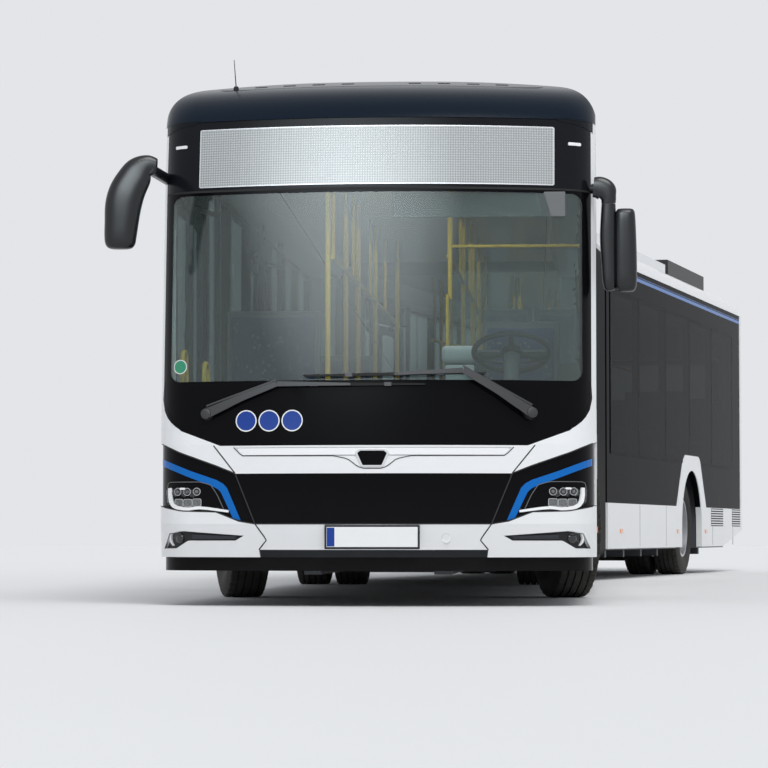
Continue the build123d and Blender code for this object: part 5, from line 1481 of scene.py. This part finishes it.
bpy.context.view_layer.update()
slots = []
for x in (-0.72, -0.55, -0.375, -0.20, 0.20, 0.375, 0.55, 0.72):
    place, normal = on_dome(x, 0.74)
    slot = add_box(-0.036, 0.036, -0.012, 0.012, -0.00225, 0.00225, 0.001)
    slots.append(move_into(slot, Matrix.Translation(place) @ turned_to(normal)))
LID = [(-1.04, 1.25), (-1.03, 0.95), (-0.98, 0.72), (-0.88, 0.64), (-0.45, 0.585), (0.0, 0.565)]
slots.append(tube_along([on_dome(x, y)[0] for x, y in LID + mirrored(LID[:-1])], 0.003))
put("dome_slots", slots, SEAM)
aerial = [
    add_rod((-0.87, 0.72, 3.055), (-0.87, 0.72, 3.092), 0.020, 24, 0.013, bevel=0.003),
    add_rod((-0.87, 0.72, 3.085), (-0.885, 0.74, 3.255), 0.0035, 10, 0.002),
]
put("aerial", aerial, RUBBER, smooth=40)

# %% [markdown]
# Low on each side of the trailing section two louvred doors let air into the motor bay. Each is a
# dark opening with thin slats. Orange side markers sit along the skirts of both sections.

# %% Louvres and side markers
SLAT_X = 1.2745
wells, slats = [], []
for side in (-1, 1):
    for y0, y1 in ((6.14, 6.93), (7.54, 8.12)):
        wells.append(side_bar(side, y0, y1, 0.500, 0.690, 0.0024, 0.003))
        for k in range(7):
            z = 0.510 + k * 0.026
            x = side * SLAT_X
            slats.append(add_box(x - 0.006, x + 0.006, y0 + 0.01, y1 - 0.01, z, z + 0.013, 0.002))
put("louvre_wells", wells, SEAM, REAR_HOME)
put("louvre_slats", slats, WHITE, REAR_HOME)
for name, section, places, home in (
    ("front", "front", (1.45, 3.60, 5.10, 6.75), FRONT_HOME),
    ("rear", "trail", (1.22, 4.14, 5.81), REAR_HOME),
):
    markers = [
        side_bar(side, y - 0.055, y + 0.055, 0.425, 0.462, 0.0085, 0.010)
        for side, y in clear_of_doors(section, places, 0.1)
    ]
    put(name + "_side_markers", markers, AMBER_LENS, home)

# %% [markdown]
# The tail has a tall engine door, vent slots, a plain plate, a border round its window and round
# lamps in a column at each corner.

# %% Tail
TRAIL_REAR = 8.370
LAMP_X = 1.130
HIGH_LAMP_Z = 2.620
LAMP_FACES = (TRAIL_REAR - 0.006, TRAIL_REAR + 0.004)
# Left, right, bottom and top of each joint
TAIL_JOINTS = [
    (-1.04, 1.04, 1.490, 1.497), (-1.04, 1.04, 0.684, 0.691), (-1.043, -1.036, 0.684, 1.497),
    (1.036, 1.043, 0.684, 1.497), (-1.04, 1.04, 2.500, 2.507), (-0.32, 0.32, 0.930, 0.936),
    (-0.32, 0.32, 1.096, 1.102),
]


def tail_bar(x0, x1, z0, z1, out=0.001, depth=0.006, bevel=0.0):
    return add_box(x0, x1, TRAIL_REAR + out - depth, TRAIL_REAR + out, z0, z1, bevel)


put("tail_joints", [tail_bar(*row) for row in TAIL_JOINTS], SEAM, REAR_HOME)
vent_heights = [1.225 + 0.024 * k for k in range(9)]
vents = [tail_bar(-0.70, 0.70, z, z + 0.011, 0.005, 0.009, 0.002) for z in vent_heights]
put("tail_vents", vents, BLACK_PLASTIC, REAR_HOME)
put("rear_plate", [tail_bar(-0.26, 0.26, 0.955, 1.070, 0.005, 0.006, 0.002)], PLATE, REAR_HOME)
border = outline_mesh([
    rounded(rectangle(-0.995, 0.995, 1.565, 2.415), 0.05),
    rounded(rectangle(-0.930, 0.930, 1.625, 2.355), 0.05),
])
for vertex in border.data.vertices:
    vertex.co = Vector((vertex.co.x, TRAIL_REAR - 0.0305, vertex.co.y))
thicken(border, 0.001)
put("rear_window_border", [border], PIANO_BLACK, REAR_HOME)
lamps, lamp_rims = [], []
for side in (-1, 1):
    x = side * LAMP_X
    for z in (0.760, 0.885, 1.010, 1.135, 1.260, HIGH_LAMP_Z):
        radius = 0.040 if z == HIGH_LAMP_Z else 0.046
        lamps.append(add_rod((x, LAMP_FACES[0], z), (x, LAMP_FACES[1], z), radius, 32, bevel=0.003))
        if z < HIGH_LAMP_Z:
            rim_place = (x, TRAIL_REAR + 0.001, z)
            lamp_rims.append(add_torus(0.048, 0.004, 40, 8, rim_place, (math.pi / 2, 0, 0)))
put("round_tail_lamps", lamps, RED_LENS, REAR_HOME, 40)
put("tail_lamp_rims", lamp_rims, BLACK_PLASTIC, REAR_HOME, 40)
